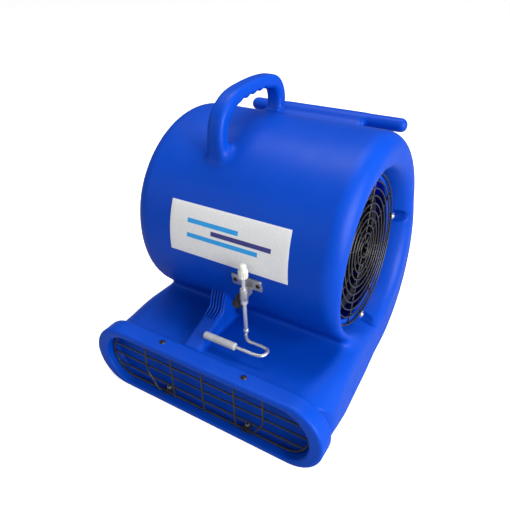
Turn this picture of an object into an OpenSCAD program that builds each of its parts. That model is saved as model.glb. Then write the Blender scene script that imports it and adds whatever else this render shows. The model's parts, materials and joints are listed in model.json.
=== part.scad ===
// Carpet-drying air mover: moulded scroll housing, double-inlet centrifugal wheel on a motor,
// wire guards, carpet clamp, three-speed switch and power cord.
// X runs along the fan axis, -Y (front) is the side the air leaves, +Z is up from the floor
// at z = 0. Right is +X. Millimetres. Gaps of 0.01 to 0.1 keep neighbouring solids apart.

/* [Housing] */
// Half width of the drum
drum_hw = 202; // [195:1:206]
// Radius of the drum
drum_r = 183; // [180:1:186]
// Wall of the moulded shell
wall = 5; // [4:0.5:6]
// Rounding of the drum's side rims
rim_r = 31; // [24:1:34]

/* [Outlet] */
// Full width of the outlet lip
lip_w = 450; // [440:1:456]
// Full height of the outlet lip
lip_h = 117; // [114:1:120]
// Depth of the outlet lip
lip_d = 32; // [28:1:36]
// Half width of the outlet opening
mouth_hw = 201; // [198:1:204]

/* [Inlet guards] */
// Pitch of the guard rings
ring_pitch = 13.25; // [12.5:0.25:13.25]
// Wire diameter of the guard rings
ring_wire = 3; // [2.4:0.1:3.4]

/* [Impeller] */
// Number of blades
blades = 36; // [24:2:40]
// Outer radius of the wheel
wheel_r = 120; // [116:1:122]

/* [Carpet clamp] */
// Diameter of the clamp rod
rod_d = 7; // [6:0.5:7]
// Length of the clamp grip sleeve
grip_l = 62; // [50:1:64]

/* [Hidden] */
$fn = 64;

// colours used by more than one node
black = [0.03, 0.03, 0.03];
moulded = [0.04, 0.04, 0.04];
rubber = [0.05, 0.05, 0.05];
dark_screw = [0.15, 0.15, 0.16];
zinc = [0.6, 0.6, 0.62];
pressed = [0.62, 0.62, 0.64];
nickel = [0.7, 0.7, 0.72];
bright = [0.72, 0.72, 0.74];
race_steel = [0.75, 0.75, 0.78];
cast = [0.35, 0.36, 0.38];

// scroll housing
fan_y = 33;
fan_z = 236;
drum_y = 43;
drum_z = 260;
scroll_y = 34;          // lower scroll arc, tangent to the floor
scroll_r = 202;
lip_y = -240;           // front face of the lip
snout_hw = 218;
snout_h = 108;
mouth_z0 = 8;
mouth_z1 = 103;
mouth_r = (mouth_z1 - mouth_z0) / 2;
mouth_zc = (mouth_z1 + mouth_z0) / 2;
// inlets: flat seat at the bottom of a funnel, with a round hole through it
seat_x = 165;
seat_r = 142;
inlet_r = 126;
screw_r = 139;          // inlet screw circle
// outlet guard
guard_y = -227;
clip_x = 82;
top_screw_y = -222.7;
low_screw_y = -219.6;
// handle on top of the drum, bar behind it
handle_x = -56;
handle_w = 30;
handle_t = 26;
bar_y = 226;
bar_z = 399;
bar_r = 14;
bar_hl = 170;
bar_bevel = 5;
// switch panel: centre and face
panel_x = -118;
panel_z = 250;
panel_y = 204;
panel_screw_x = 32;     // each side of the centre
// cord outlet: centre and boss face
cord_x = -118;
cord_z = 70;
cord_y = 196;
cord_r = 4;
cord_boss_r = 14;
// run capacitor
cap_z = 238;
cap_y = 186;
cap_r = 17;
cap_screw_x = -35;
// carpet clamp
rod_x = 43;
rod_y = -155;
rod_r = rod_d / 2;
bracket_x = 38;
bracket_screw_x = 21.5; // each side of the bracket's centre

// ---------- frames ----------
module up(z) { translate([0, 0, z]) children(); }
// local +Z along +X, or along +Y
module along_x(x, y, z) { translate([x, y, z]) rotate([0, 90, 0]) children(); }
module along_y(x, y, z) { translate([x, y, z]) rotate([-90, 0, 0]) children(); }
module on_fan(x) { along_x(x, fan_y, fan_z) children(); }
// on the fan axis, local +Z pointing out of the drum; side is 1 (right) or -1 (left)
module facing_out(side, x) {
    translate([side * x, fan_y, fan_z]) rotate([0, side * 90, 0]) children();
}
// four copies about the fan axis, local Y radial
module quarters() {
    for (a = [0:90:270]) translate([0, fan_y, fan_z]) rotate([a, 0, 0]) children();
}
// the four screw stations of one inlet, local +Z pointing out of the drum
module stations(side, x, r = screw_r) {
    quarters() translate([side * x, r, 0]) rotate([0, side * 90, 0]) children();
}
// n copies about local Z at radius r
module ring_of(n, r = 0, start = 0) {
    for (i = [0:n - 1]) rotate([0, 0, start + i * 360 / n]) translate([r, 0, 0]) children();
}
module at_panel(y, dx = 0) { along_y(panel_x + dx, y, panel_z) children(); }
// frame on the drum front at the clamp bracket: -Y outward, +Z up the surface
module on_drum_front(x) {
    translate([x, drum_y, drum_z]) rotate([10.4, 0, 0]) translate([0, -drum_r, 0]) children();
}
// [y, z] outline extruded towards +X; [x, z] outline extruded towards -Y
module extrude_x(x, w) { translate([x, 0, 0]) rotate([90, 0, 90]) linear_extrude(w) children(); }
module extrude_front(y, z, d) {
    translate([0, y, z]) rotate([90, 0, 0]) linear_extrude(d) children();
}

// ---------- shared shapes ----------
module tube(outer, inner, h) {
    difference() {
        cylinder(r = outer, h = h);
        up(-1) cylinder(r = inner, h = h + 2);
    }
}
module rod(a, b, r) {
    d = b - a;
    l = norm(d);
    translate(a) rotate([0, acos(d[2] / l), atan2(d[1], d[0])]) cylinder(r = r, h = l);
}
// rods through points, with slightly fuller balls at the joints
module path(points, r) {
    for (i = [0:len(points) - 2]) rod(points[i], points[i + 1], r);
    for (i = [1:len(points) - 2]) translate(points[i]) sphere(r * 1.04);
}
// turn of round stock, starting at +X and turning towards +Y
module bend(r, wire_r, angle) {
    rotate_extrude(angle = angle) translate([r, 0]) circle(wire_r);
}
// domed cross-slot screw along +Z: head underside at z = 0, shank runs to -length
module dome_screw(head_r, head_h, shank_r, length) {
    dome_r = (head_r * head_r + head_h * head_h) / (2 * head_h);
    difference() {
        union() {
            rotate_extrude() intersection() {
                translate([0, head_h - dome_r]) circle(dome_r);
                square([head_r, head_h]);
            }
            up(-length) cylinder(r = shank_r, h = length + 0.5);
        }
        for (a = [0, 90])
            rotate([0, 0, a])
                translate([-head_r * 0.55, -0.6, head_h * 0.45])
                    cube([head_r * 1.1, 1.2, head_h]);
    }
}
module hex_screw(flats, head_h, shank_r, length) {
    cylinder(r = flats / 2 / cos(30), h = head_h, $fn = 6);
    up(-length) cylinder(r = shank_r, h = length + 0.5);
}
module nut(flats, h, bore_r) {
    difference() {
        cylinder(r = flats / 2 / cos(30), h = h, $fn = 6);
        up(-1) cylinder(r = bore_r, h = h + 2);
    }
}

// ---------- housing ----------
// drum with rounded rims; the half section has x = radius, y = axial
module drum(r, half_w, round_r) {
    rotate_extrude($fn = 128) intersection() {
        union() {
            translate([0, -half_w]) square([r - round_r, 2 * half_w]);
            translate([0, -(half_w - round_r)]) square([r, 2 * (half_w - round_r)]);
            for (s = [-1, 1]) translate([r - round_r, s * (half_w - round_r)]) circle(round_r);
        }
        translate([0, -300]) square([300, 600]);
    }
}
// inset is 0 for the outside, wall for the cavity
module scroll_body(inset) {
    along_x(0, drum_y, drum_z) drum(drum_r - inset, drum_hw - inset, rim_r - inset);
    // rear half only of the lower arc
    intersection() {
        along_x(0, scroll_y, scroll_r) drum(scroll_r - inset, drum_hw - inset, rim_r - inset);
        translate([-300, scroll_y, -10]) cube([600, 300, 300]);
    }
}
module rounded_rect(w, h, r) {
    translate([-w / 2 + r, 0]) square([w - 2 * r, h]);
    translate([-w / 2, r]) square([w, h - 2 * r]);
    for (s = [-1, 1], z = [r, h - r]) translate([s * (w / 2 - r), z]) circle(r);
}
module snout_slice(y, half_w, corner_r, inset) {
    extrude_front(y, inset, 1)
        rounded_rect(2 * (half_w - inset), snout_h - 2 * inset, corner_r - inset, $fn = 32);
}
module snout_body(inset) {
    hull() {
        snout_slice(lip_y + lip_d, snout_hw, 50, inset);
        snout_slice(scroll_y + 1, drum_hw, rim_r, inset);
    }
}
module stadium(half_w, z0, z1) {
    r = (z1 - z0) / 2;
    translate([-(half_w - r), z0]) square([2 * (half_w - r), z1 - z0]);
    for (s = [-1, 1]) translate([s * (half_w - r), (z0 + z1) / 2]) circle(r, $fn = 96);
}
module lip() {
    extrude_front(lip_y + lip_d, 0, lip_d) stadium(lip_w / 2, 0, lip_h);
}
module mouth() {
    extrude_front(lip_y + lip_d + 3, 0, lip_d + 6) stadium(mouth_hw, mouth_z0, mouth_z1);
}

// handle centreline, [y, z], front foot to rear foot; smoothed by a Catmull-Rom spline
handle_pts = [[-60, 380], [-62, 405], [-59, 440], [-46, 470], [-16, 487], [30, 494],
    [76, 493], [106, 481], [119, 456], [120, 425], [115, 400]];
function spline(a, b, c, d, t) =
    0.5 * ((2 * b) + (c - a) * t + (2 * a - 5 * b + 4 * c - d) * t * t
        + (3 * b - a - 3 * c + d) * t * t * t);
function handle_pt(i, t) = let (p = handle_pts)
    spline(p[max(i - 1, 0)], p[i], p[i + 1], p[min(i + 2, len(p) - 1)], t);
handle_line = [for (i = [0:len(handle_pts) - 2], t = [0:0.25:0.99]) handle_pt(i, t)];
handle_last = len(handle_line) - 1;
function handle_normal(i) =
    let (d = handle_line[min(i + 1, handle_last)] - handle_line[max(i - 1, 0)])
    [-d[1], d[0]] / norm(d);
function handle_edge(i, out) = handle_line[i] + handle_normal(i) * out;
module handle() {
    extrude_x(handle_x - handle_w / 2, handle_w) difference() {
        polygon(concat(
            [for (i = [0:handle_last]) handle_edge(i, handle_t / 2)],
            [for (i = [handle_last:-1:0]) handle_edge(i, -handle_t / 2)]));
        // four finger scallops under the grip
        for (y = [-6:23:63]) translate([y, 475 + y * 0.04]) circle(8.5);
    }
}
module bar() {
    along_x(-(bar_hl - 6), bar_y, bar_z) cylinder(r = bar_r, h = 2 * (bar_hl - 6));
    tip_r = bar_r - bar_bevel;
    along_x(bar_hl - 6.001, bar_y, bar_z) cylinder(r1 = bar_r, r2 = tip_r, h = 6.001);
    along_x(-bar_hl, bar_y, bar_z) cylinder(r1 = tip_r, r2 = bar_r, h = 6.001);
    // web from the drum to the bar
    extrude_x(-90, 180) polygon([
        [bar_y - 10, bar_z + 9], [bar_y + 8, bar_z - 10],
        [drum_y + 160, drum_z + 60], [drum_y + 120, drum_z + 130]]);
}
// grooved rib on top of the snout
module rib() {
    difference() {
        extrude_x(-57, 30) polygon([
            [-90, 104], [-98, 152], [-117, 161], [-128, 140], [-206, 111], [-206, 104]]);
        for (i = [0:4])
            translate([-52.5 + i * 5, -136.5, 135]) rotate([-29, 0, 0]) cube([2, 8, 36]);
    }
}
module funnel(side, grow = 0) {
    facing_out(side, seat_x - grow)
        cylinder(r1 = seat_r + grow, r2 = seat_r + grow + 20, h = 45, $fn = 128);
}
// material left standing in the cavity round one inlet
module funnel_boss(side) {
    funnel(side, wall);
    stations(side, seat_x - 22) cylinder(r = 9, h = 24);
}
module inlet_cut(side) {
    funnel(side);
    // screwdriver flutes in the funnel wall
    stations(side, seat_x, screw_r + 2) cylinder(r = 10, h = 45);
    facing_out(side, seat_x - 38) cylinder(r = inlet_r, h = 40, $fn = 128);
}
// pocket for the switch plate, or the boss round it
module panel_box(grow, depth) {
    translate([panel_x - 40 - grow, panel_y - grow, panel_z - 33 - grow])
        cube([80 + 2 * grow, depth, 66 + 2 * grow]);
}
module housing_outside() {
    scroll_body(0);
    snout_body(0);
    lip();
    handle();
    bar();
    rib();
    // cord outlet boss
    along_y(cord_x, cord_y - 44, cord_z) cylinder(r = cord_boss_r, h = 44);
}
module housing_cavity() {
    difference() {
        union() {
            scroll_body(wall);
            snout_body(wall);
        }
        for (s = [-1, 1]) funnel_boss(s);
        panel_box(wall, 70);
        along_y(cord_x, cord_y - 40, cord_z) cylinder(r = cord_boss_r, h = 44);
    }
}
module fixing_holes() {
    // seats for the threaded inserts
    for (s = [-1, 1]) stations(s, seat_x - 14) cylinder(r = 4.05, h = 18);
    // outlet guard screws, the lower ones with sunk heads
    for (x = [-clip_x, clip_x]) {
        translate([x, top_screw_y, 90]) cylinder(r = 2.1, h = 40);
        translate([x, low_screw_y, -5]) cylinder(r = 2.1, h = 20);
        translate([x, low_screw_y, -1]) cylinder(r = 5.2, h = 4.4);
    }
    // clamp bracket screw pilots
    for (s = [-1, 1])
        on_drum_front(bracket_x + s * bracket_screw_x)
            rotate([90, 0, 0]) cylinder(r = 2.05, h = 14, center = true);
    // switch body, plate screws, capacitor screw and cord
    at_panel(panel_y - 12) cylinder(r = 16.2, h = 20);
    for (s = [-1, 1]) at_panel(panel_y - 12, s * panel_screw_x) cylinder(r = 1.8, h = 20);
    along_y(cap_screw_x, 205, cap_z) cylinder(r = 2.1, h = 30);
    along_y(cord_x, cord_y - 60, cord_z) cylinder(r = 8.1, h = 70);
}
module housing() color([0.02, 0.16, 0.62]) difference() {
    union() {
        difference() {
            housing_outside();
            housing_cavity();
            mouth();
            for (s = [-1, 1]) inlet_cut(s);
        }
        // raised pads on the right seat
        stations(1, seat_x - 1) cylinder(r = 9, h = 4);
    }
    panel_box(0, 60);
    fixing_holes();
}

// thin curved label on the drum front, from 24.8 degrees above its centre to 3.5 below
label_hw = 114.6;
module info_label() color([0.88, 0.88, 0.88]) along_x(0, drum_y, drum_z) intersection() {
    difference() {
        up(-label_hw) cylinder(r = drum_r + 0.5, h = 2 * label_hw, $fn = 128);
        up(-120) cylinder(r = drum_r + 0.1, h = 240, $fn = 128);
    }
    up(-130) linear_extrude(260) polygon([
        [0, 0], 260 * [-sin(24.8), -cos(24.8)], 260 * [sin(3.5), -cos(3.5)]]);
}

// ---------- outlet guard ----------
frame_wire_r = 1.9;
bar_wire_r = 1.65;
upright_r = 1.75;
loop_r = 44.3;
loop_x = mouth_hw - mouth_r;
frame_low = mouth_zc - loop_r;
frame_top = mouth_zc + loop_r;
upright_y = guard_y - 2.6;
upright_z0 = frame_low - 0.7;
// half width of the frame at height z
function frame_hw(z) = loop_x + sqrt(loop_r * loop_r - pow(z - mouth_zc, 2));
module outlet_guard() color(black) {
    // end loops and long wires
    for (s = [-1, 1])
        translate([s * loop_x, guard_y, mouth_zc]) rotate([90, 0, 0]) rotate([0, 0, -s * 90])
            bend(loop_r, frame_wire_r, 180);
    for (z = [frame_top, frame_low])
        along_x(-loop_x, guard_y, z) cylinder(r = frame_wire_r, h = 2 * loop_x);
    for (z = [74, 53, 31])
        along_x(-frame_hw(z), guard_y, z) cylinder(r = bar_wire_r, h = 2 * frame_hw(z));
    // uprights in front of them, the outer two kinked inwards at the bottom
    for (x = [-62, 2, 65])
        translate([x, upright_y, upright_z0]) cylinder(r = upright_r, h = 2 * loop_r + 1.2);
    for (s = [-1, 1]) {
        kink = [s * 119, upright_y, 44];
        translate(kink) cylinder(r = upright_r, h = 56);
        translate(kink) sphere(1.83);
        rod(kink, [s * 99, upright_y, upright_z0], upright_r);
    }
}
// round seat for the frame wire, open to the front
module clip_slot(z) {
    along_x(-8, guard_y, z) cylinder(r = 2, h = 16);
    translate([-8, guard_y - 6, z - 2]) cube([16, 6, 4]);
}
module outlet_guard_clips() color(moulded) for (x = [-clip_x, clip_x]) translate([x, 0, 0]) {
    // the upper pair hang from the roof of the mouth
    difference() {
        translate([-6, -231, 96.5]) cube([12, 12, mouth_z1 - 96.52]);
        clip_slot(frame_top);
        translate([0, top_screw_y, 90]) cylinder(r = 2.1, h = 20);
    }
    // the lower pair stand on its floor
    difference() {
        translate([-6, -230, mouth_z0 + 0.02]) cube([12, 15.4, 5.6]);
        clip_slot(frame_low);
        translate([0, low_screw_y, 5]) cylinder(r = 2.1, h = 20);
    }
}
module outlet_guard_screws() color([0.1, 0.07, 0.05]) for (x = [-clip_x, clip_x]) {
    translate([x, top_screw_y, lip_h]) dome_screw(5, 3, 2, lip_h - 91);
    translate([x, low_screw_y, 3.4]) mirror([0, 0, 1]) dome_screw(5, 3, 2, 14);
}
module outlet_guard_nuts() color(zinc) for (x = [-clip_x, clip_x]) {
    translate([x, top_screw_y, 93.2]) nut(7, 3.2, 2.02);
    translate([x, low_screw_y, mouth_z0 + 5.7]) nut(7, 3.2, 2.02);
}

// ---------- inlet guards ----------
// rings in front, spokes behind them resting on the seat
module inlet_guard(side) {
    facing_out(side, seat_x) {
        for (i = [0:9]) up(4.6) bend(134.5 - i * ring_pitch, ring_wire / 2, 360);
        ring_of(8, start = 22.5) along_y(0, 12, 1.7) cylinder(r = 1.65, h = 123);
    }
}
module inlet_screws(side) { stations(side, seat_x + 7.4) dome_screw(4.6, 3, 2.4, 20); }
module inlet_guard_right() color(black) inlet_guard(1);
module inlet_guard_left() color(black) inlet_guard(-1);
module inlet_screws_right() color(nickel) inlet_screws(1);
module inlet_screws_left() color(nickel) inlet_screws(-1);
module inlet_washers() color(bright) for (s = [-1, 1]) stations(s, seat_x + 6.2)
    tube(6.4, 2.5, 1.2);
// longer on the right, to reach through the raised pads
module threaded_inserts() color([0.75, 0.6, 0.25]) for (s = [-1, 1]) stations(s, seat_x - 12)
    tube(4, 2.45, s > 0 ? 15 : 12);

// ---------- motor ----------
motor_r = 70;
plate_x = -156;         // bracket plate, then isolators, bell, shell, bell
plate_t = 3;
bell_l = 18;
shell_l = 82;
rear_bell_x = plate_x + 10;
shell_x = rear_bell_x + bell_l;
drive_bell_x = shell_x + shell_l;
core_x0 = -118;         // laminations
core_x1 = -60;
core_l = core_x1 - core_x0;
through_r = 61.5;       // through-bolt circle
mount_r = 48;           // isolator circle
bearing_x = [-133, -35.2];
balls = 8;
ball_circle_r = 11;
shaft_r = 6;
slots = 24;
// plate and four cranked arms; arm outline is [x, radius]
arm_pts = [[-156, 55], [-156, 108], [-168, 120], [-168, screw_r],
    [-165.02, screw_r], [-165.02, 121.3], [-153, 109.3], [-153, 55]];
module at_mounts() { ring_of(4, mount_r, 45) children(); }
module at_through_bolts() { ring_of(4, through_r, 45) children(); }
module motor_bracket() color([0.55, 0.56, 0.58]) difference() {
    union() {
        on_fan(plate_x) cylinder(r = 62, h = plate_t);
        quarters() {
            up(-9) linear_extrude(18) polygon(arm_pts);
            along_x(-168, screw_r, 0) cylinder(r = 9, h = 2.98);
        }
    }
    on_fan(plate_x - 1) cylinder(r = 30, h = 5);
    on_fan(plate_x - 1) at_mounts() cylinder(r = 3.3, h = 5);
    stations(-1, 164) cylinder(r = 2.6, h = 10);
}
module motor_isolators() color(rubber) on_fan(plate_x + plate_t) at_mounts()
    rotate_extrude() polygon([[3.1, 0.02], [11, 0.02], [9.5, 3.5], [11, 6.98], [3.1, 6.98]]);
module motor_mount_bolts() color(zinc) on_fan(plate_x) at_mounts()
    mirror([0, 0, 1]) hex_screw(10, 4, 3, 20);
module motor_rear_bell() color(cast) on_fan(rear_bell_x) difference() {
    union() {
        difference() {
            cylinder(r = motor_r, h = bell_l);
            up(6) cylinder(r = motor_r - 4.5, h = 20);
        }
        up(3) cylinder(r = 24, h = 17);
        at_mounts() up(3) cylinder(r = 7, h = 9);
        at_through_bolts() up(3) cylinder(r = 5.5, h = 13);
    }
    up(8) cylinder(r = 16, h = 20);
    at_mounts() up(-1) cylinder(r = 3.05, h = 12);
    at_through_bolts() up(-1) cylinder(r = 2.25, h = 30);
    // vents
    ring_of(12) translate([31, -2.2, -1]) cube([7, 4.4, 8]);
}
module motor_drive_bell() color(cast) on_fan(drive_bell_x) difference() {
    union() {
        up(12) cylinder(r = motor_r, h = 6);
        difference() {
            cylinder(r = motor_r, h = bell_l);
            up(-1) cylinder(r = motor_r - 4.5, h = 14);
        }
        up(1) cylinder(r = 24, h = 17);
        at_through_bolts() cylinder(r = 5.5, h = bell_l);
    }
    up(-1) cylinder(r = 16, h = 17);
    cylinder(r = 7.5, h = 30);
    at_through_bolts() up(-1) cylinder(r = 2.25, h = 30);
    // vents
    ring_of(12) translate([32, -2.5, 10]) cube([16, 5, 10]);
}
module motor_shell() color([0.08, 0.08, 0.09]) on_fan(shell_x)
    tube(motor_r, motor_r - 3, shell_l);
module motor_through_bolts() color(pressed) on_fan(drive_bell_x + bell_l)
    at_through_bolts() hex_screw(7, 3, 2.2, 116);
// one slot with a round bottom, shrunk by gap for its winding
module slot(gap) {
    half_w = 2.4 - gap;
    translate([44, -half_w]) square([10 - 2 * gap, 2 * half_w]);
    translate([44, 0]) circle(half_w, $fn = 24);
}
module motor_stator() color([0.4, 0.41, 0.43]) on_fan(core_x0) linear_extrude(core_l)
    difference() {
        circle(motor_r - 3.05, $fn = 128);
        circle(40, $fn = 128);
        ring_of(slots) {
            slot(0);
            translate([38, -0.8]) square([6, 1.6]);
        }
        at_through_bolts() circle(2.6);
    }
module stator_windings() color([0.6, 0.27, 0.1]) on_fan(0) {
    ring_of(slots) up(core_x0 - 1) linear_extrude(core_l + 2) slot(0.15);
    // end turns
    for (z = [core_x0 - 4.7, core_x1 + 4.7]) up(z) rotate_extrude() {
        translate([45, -4.6]) square([8, 9.2]);
        for (x = [45, 53]) translate([x, 0]) circle(4.6, $fn = 24);
    }
}
module at_bearings() { for (x = bearing_x) on_fan(x) children(); }
module race(r0, r1) {
    rotate_extrude() difference() {
        translate([r0, -5]) square([r1 - r0, 10]);
        translate([ball_circle_r, 0]) circle(2.8);
    }
}
module bearing_outer_races() color(race_steel) at_bearings() race(12.4, 15.99);
module bearing_inner_races() color(race_steel) at_bearings() race(6.01, 9.6);
module bearing_balls() color([0.8, 0.8, 0.82]) at_bearings()
    ring_of(balls, ball_circle_r) sphere(2.75);
module bearing_cages() color([0.7, 0.55, 0.25]) at_bearings() difference() {
    up(-3.4) cylinder(r = 11.8, h = 6.8);
    up(-4) cylinder(r = 10.2, h = 8);
    ring_of(balls, 8) rotate([0, 90, 0]) cylinder(r = 2.8, h = 6);
}
module motor_shaft() color([0.68, 0.68, 0.7]) difference() {
    union() {
        on_fan(-138) cylinder(r = shaft_r, h = 152);
        on_fan(-125) cylinder(r = 7.2, h = 80);
        on_fan(14) cylinder(r1 = shaft_r, r2 = 5, h = 1);
    }
    // flat under the set screw
    translate([-12, fan_y - 8, fan_z + 5]) cube([30, 16, 6]);
}
module motor_rotor_core() color([0.45, 0.45, 0.47]) difference() {
    union() {
        on_fan(core_x0) cylinder(r = 39.4, h = core_l);
        on_fan(core_x0 - 5) cylinder(r = 35, h = core_l + 10);
    }
    on_fan(core_x0 - 6) cylinder(r = 7.22, h = core_l + 12);
}

// ---------- wheel ----------
wheel_hl = 145;         // half length
blade_in_r = 101;
blade_t = 1.5;
hub_r = 16;
rivet_circle_r = 25;
set_screw_x = -8;
// point on the curved blade: t runs from inner to outer edge, side offsets across it
function blade_pt(t, side) =
    let (
        r = blade_in_r + (wheel_r - 1 - blade_in_r) * t,
        a = 9.5 * t * t + 1.2 * t,
        lean = a + 32 * t - (9.5 * t * t + 1.2 * t) + a)
    [r * cos(a) - side * sin(lean), r * sin(a) + side * cos(lean)];
module blade() {
    polygon(concat(
        [for (i = [0:5]) blade_pt(i / 5, blade_t / 2)],
        [for (i = [5:-1:0]) blade_pt(i / 5, -blade_t / 2)]));
}
module at_rivets() { ring_of(6, rivet_circle_r) children(); }
module impeller_wheel() color(black) difference() {
    union() {
        on_fan(-wheel_hl + 1) ring_of(blades) linear_extrude(2 * wheel_hl - 2) blade();
        on_fan(-1.5) cylinder(r = wheel_r, h = 3, $fn = 128);
        for (x = [-wheel_hl, wheel_hl - 4])
            on_fan(x) tube(wheel_r, blade_in_r - 1, 4, $fn = 128);
    }
    on_fan(-3) cylinder(r = hub_r + 0.05, h = 6);
    on_fan(-3) at_rivets() cylinder(r = 2.05, h = 6);
}
module impeller_hub() color([0.5, 0.5, 0.53]) difference() {
    union() {
        on_fan(1.52) cylinder(r = 31, h = 4);
        on_fan(-16) cylinder(r = hub_r, h = 21);
    }
    on_fan(-20) cylinder(r = shaft_r + 0.02, h = 40);
    on_fan(-3) at_rivets() cylinder(r = 2.05, h = 12);
    translate([set_screw_x, fan_y, fan_z]) cylinder(r = 3.02, h = 30);
}
module hub_rivets() color(zinc) on_fan(5.54) at_rivets() {
    rotate_extrude() intersection() {
        translate([0, -3]) circle(5);
        square([4, 4]);
    }
    up(-7.06) cylinder(r = 2, h = 7.5);
    up(-9.05) cylinder(r = 3.6, h = 2);
}
module hub_set_screw() color(dark_screw) translate([set_screw_x, fan_y, fan_z]) difference() {
    up(5.02) cylinder(r = 3, h = 10.5);
    up(11) cylinder(r = 1.7, h = 6, $fn = 6);
}

// ---------- electrical ----------
module switch_plate() color([0.75, 0.75, 0.77]) difference() {
    translate([panel_x - 38, panel_y + 0.02, panel_z - 31]) cube([76, 2, 62]);
    at_panel(panel_y - 1) cylinder(r = 5.1, h = 5);
    for (s = [-1, 1]) at_panel(panel_y - 1, s * panel_screw_x) cylinder(r = 1.9, h = 5);
}
module switch_plate_screws() color(dark_screw) for (s = [-1, 1])
    at_panel(panel_y + 2.04, s * panel_screw_x) dome_screw(3.4, 2.2, 1.75, 9);
module switch_body() color([0.06, 0.06, 0.07]) difference() {
    union() {
        at_panel(176) cylinder(r = 15, h = 28);
        at_panel(200) cylinder(r = 5, h = 12);
    }
    at_panel(190) cylinder(r = 3.06, h = 30);
}
module switch_nut() color(nickel) at_panel(panel_y + 2.04) nut(13, 2.6, 5.02);
module switch_spindle() color(nickel) at_panel(190.5) cylinder(r = 3, h = 34);
module speed_knob() color(black) at_panel(212.4) difference() {
    union() {
        cylinder(r = 17, h = 4);
        up(3.9) cylinder(r1 = 15, r2 = 13.5, h = 9.6);
        translate([-3, -4, 3.9]) cube([6, 20, 10.6]);
    }
    up(-1) cylinder(r = 8, h = 4);
    up(-1) cylinder(r = 3.02, h = 13.2);
    ring_of(12, 17.2, 15) up(-1) cylinder(r = 1.6, h = 6);
}
module run_capacitor() color([0.12, 0.12, 0.13]) along_x(-70, cap_y, cap_z) {
    cylinder(r = cap_r, h = 70);
    up(69.9) cylinder(r = cap_r - 3, h = 2.1);
}
// band round the capacitor with a block reaching back to the shell
module capacitor_clip() color(pressed) difference() {
    union() {
        along_x(cap_screw_x - 7, cap_y, cap_z) cylinder(r = cap_r + 1.6, h = 14);
        translate([cap_screw_x - 7, cap_y + 12, cap_z - 8]) cube([14, 213.9 - cap_y, 16]);
    }
    along_x(cap_screw_x - 8, cap_y, cap_z) cylinder(r = cap_r + 0.02, h = 16);
    along_y(cap_screw_x, cap_y, cap_z) cylinder(r = 2.02, h = 60);
}
module capacitor_screw() color(dark_screw) along_y(cap_screw_x, 233.65, cap_z)
    dome_screw(4.4, 2.4, 2, 22);
// point beside the motor, r from the fan axis and 20 degrees above it at the rear
function lead_pt(x, r) = [x, fan_y + r * cos(20), fan_z + r * sin(20)];
module internal_leads() color([0.1, 0.1, 0.1]) {
    // motor to switch
    path([lead_pt(-146.05, 67), lead_pt(-151, 67), lead_pt(-152, 150), [-140, 178, 284],
        [-118, 182, 275], [-118, 182.5, panel_z + 15.7]], 3);
    // switch to capacitor
    path([[panel_x + 16.1, 186, panel_z], [-90, 186, 244], [-70.8, 186, cap_z]], 2);
}
module strain_relief() color(moulded) along_y(cord_x, cord_y - 24, cord_z) difference() {
    union() {
        cylinder(r = 8, h = 26);
        up(24.05) cylinder(r = 11, h = 3.4);
        up(27) cylinder(r1 = 7, r2 = 5.4, h = 5);
    }
    up(-1) cylinder(r = cord_r + 0.05, h = 40);
}

// flat coil of cord on the floor
coil_z = 5.8;
coil_back = 234;        // outermost rear run
coil_x0 = cord_x + 20;
coil_x1 = 80;
coil_pitch = 8.6;
coil_r = 58;
coil_front = coil_back - 2 * coil_r;
inner_y = coil_front + 3 * coil_pitch;
plug_turn_r = 14;
plug_y = inner_y + 2 * plug_turn_r;
module coil_turn(x, y, r, side) {
    translate([x, y, coil_z]) rotate([0, 0, -side * 90]) bend(r, cord_r, 180);
}
module coil_run(y, x1 = coil_x1) { rod([coil_x0, y, coil_z], [x1, y, coil_z], cord_r); }
module power_cord() color(black) {
    // tail inside the drum
    path([[cord_x, 182, panel_z - 15.2], [cord_x, 182, panel_z - 24], [cord_x, 196, 176],
        [cord_x, 188, 128], [cord_x, 148, 98], [cord_x, 139, 79], [cord_x, 144, cord_z],
        [cord_x, 220, cord_z]], cord_r);
    // out through the relief and down the back
    translate([cord_x, 220, cord_z - 14]) rotate([90, 0, 90]) bend(14, cord_r, 90);
    rod([cord_x, coil_back, cord_z - 14], [cord_x, coil_back, coil_z + 20], cord_r);
    translate([coil_x0, coil_back, coil_z + 20]) rotate([90, 0, 0]) rotate([0, 0, 180])
        bend(20, cord_r, 90);
    // right half turns shrink by the pitch, the left ones sit half a pitch between
    for (i = [0:3]) {
        step = i * coil_pitch;
        coil_turn(coil_x1, coil_back - coil_r, coil_r - step, 1);
        coil_run(coil_back - step);
        coil_run(coil_front + step);
        if (i < 3) coil_turn(coil_x0, coil_back - coil_r - coil_pitch / 2,
            coil_r - coil_pitch / 2 - step, -1);
    }
    // inner end turns back to the plug
    coil_turn(coil_x0, inner_y + plug_turn_r, plug_turn_r, -1);
    coil_run(plug_y, coil_x0 + 22);
}
module plug_body() color(moulded) difference() {
    union() {
        along_x(coil_x0 + 6, plug_y, coil_z) cylinder(r1 = 5, r2 = 5.6, h = 18);
        intersection() {
            translate([coil_x0 + 22, plug_y - 13, 0.3]) cube([30, 26, 22]);
            along_x(coil_x0 + 22, plug_y, 9) cylinder(r = 14, h = 30);
        }
    }
    along_x(coil_x0, plug_y, coil_z) cylinder(r = cord_r + 0.05, h = 22.3);
}
module plug_pins() color([0.8, 0.65, 0.3]) {
    pin_x = coil_x0 + 52.05;
    for (s = [-1, 1]) translate([pin_x, plug_y + s * 6.35 - 0.75, 11]) cube([16, 1.5, 6.3]);
    along_x(pin_x, plug_y, 5.6) cylinder(r = 2.4, h = 19);
}
// band round the four front runs
module cord_strap() color([0.1, 0.1, 0.1]) difference() {
    translate([-20, coil_front - 5.4, 0.5]) cube([18, 3 * coil_pitch + 10.8, 10.6]);
    translate([-21, coil_front - 4.2, 1.7]) cube([20, 3 * coil_pitch + 8.4, 8.2]);
}

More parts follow.
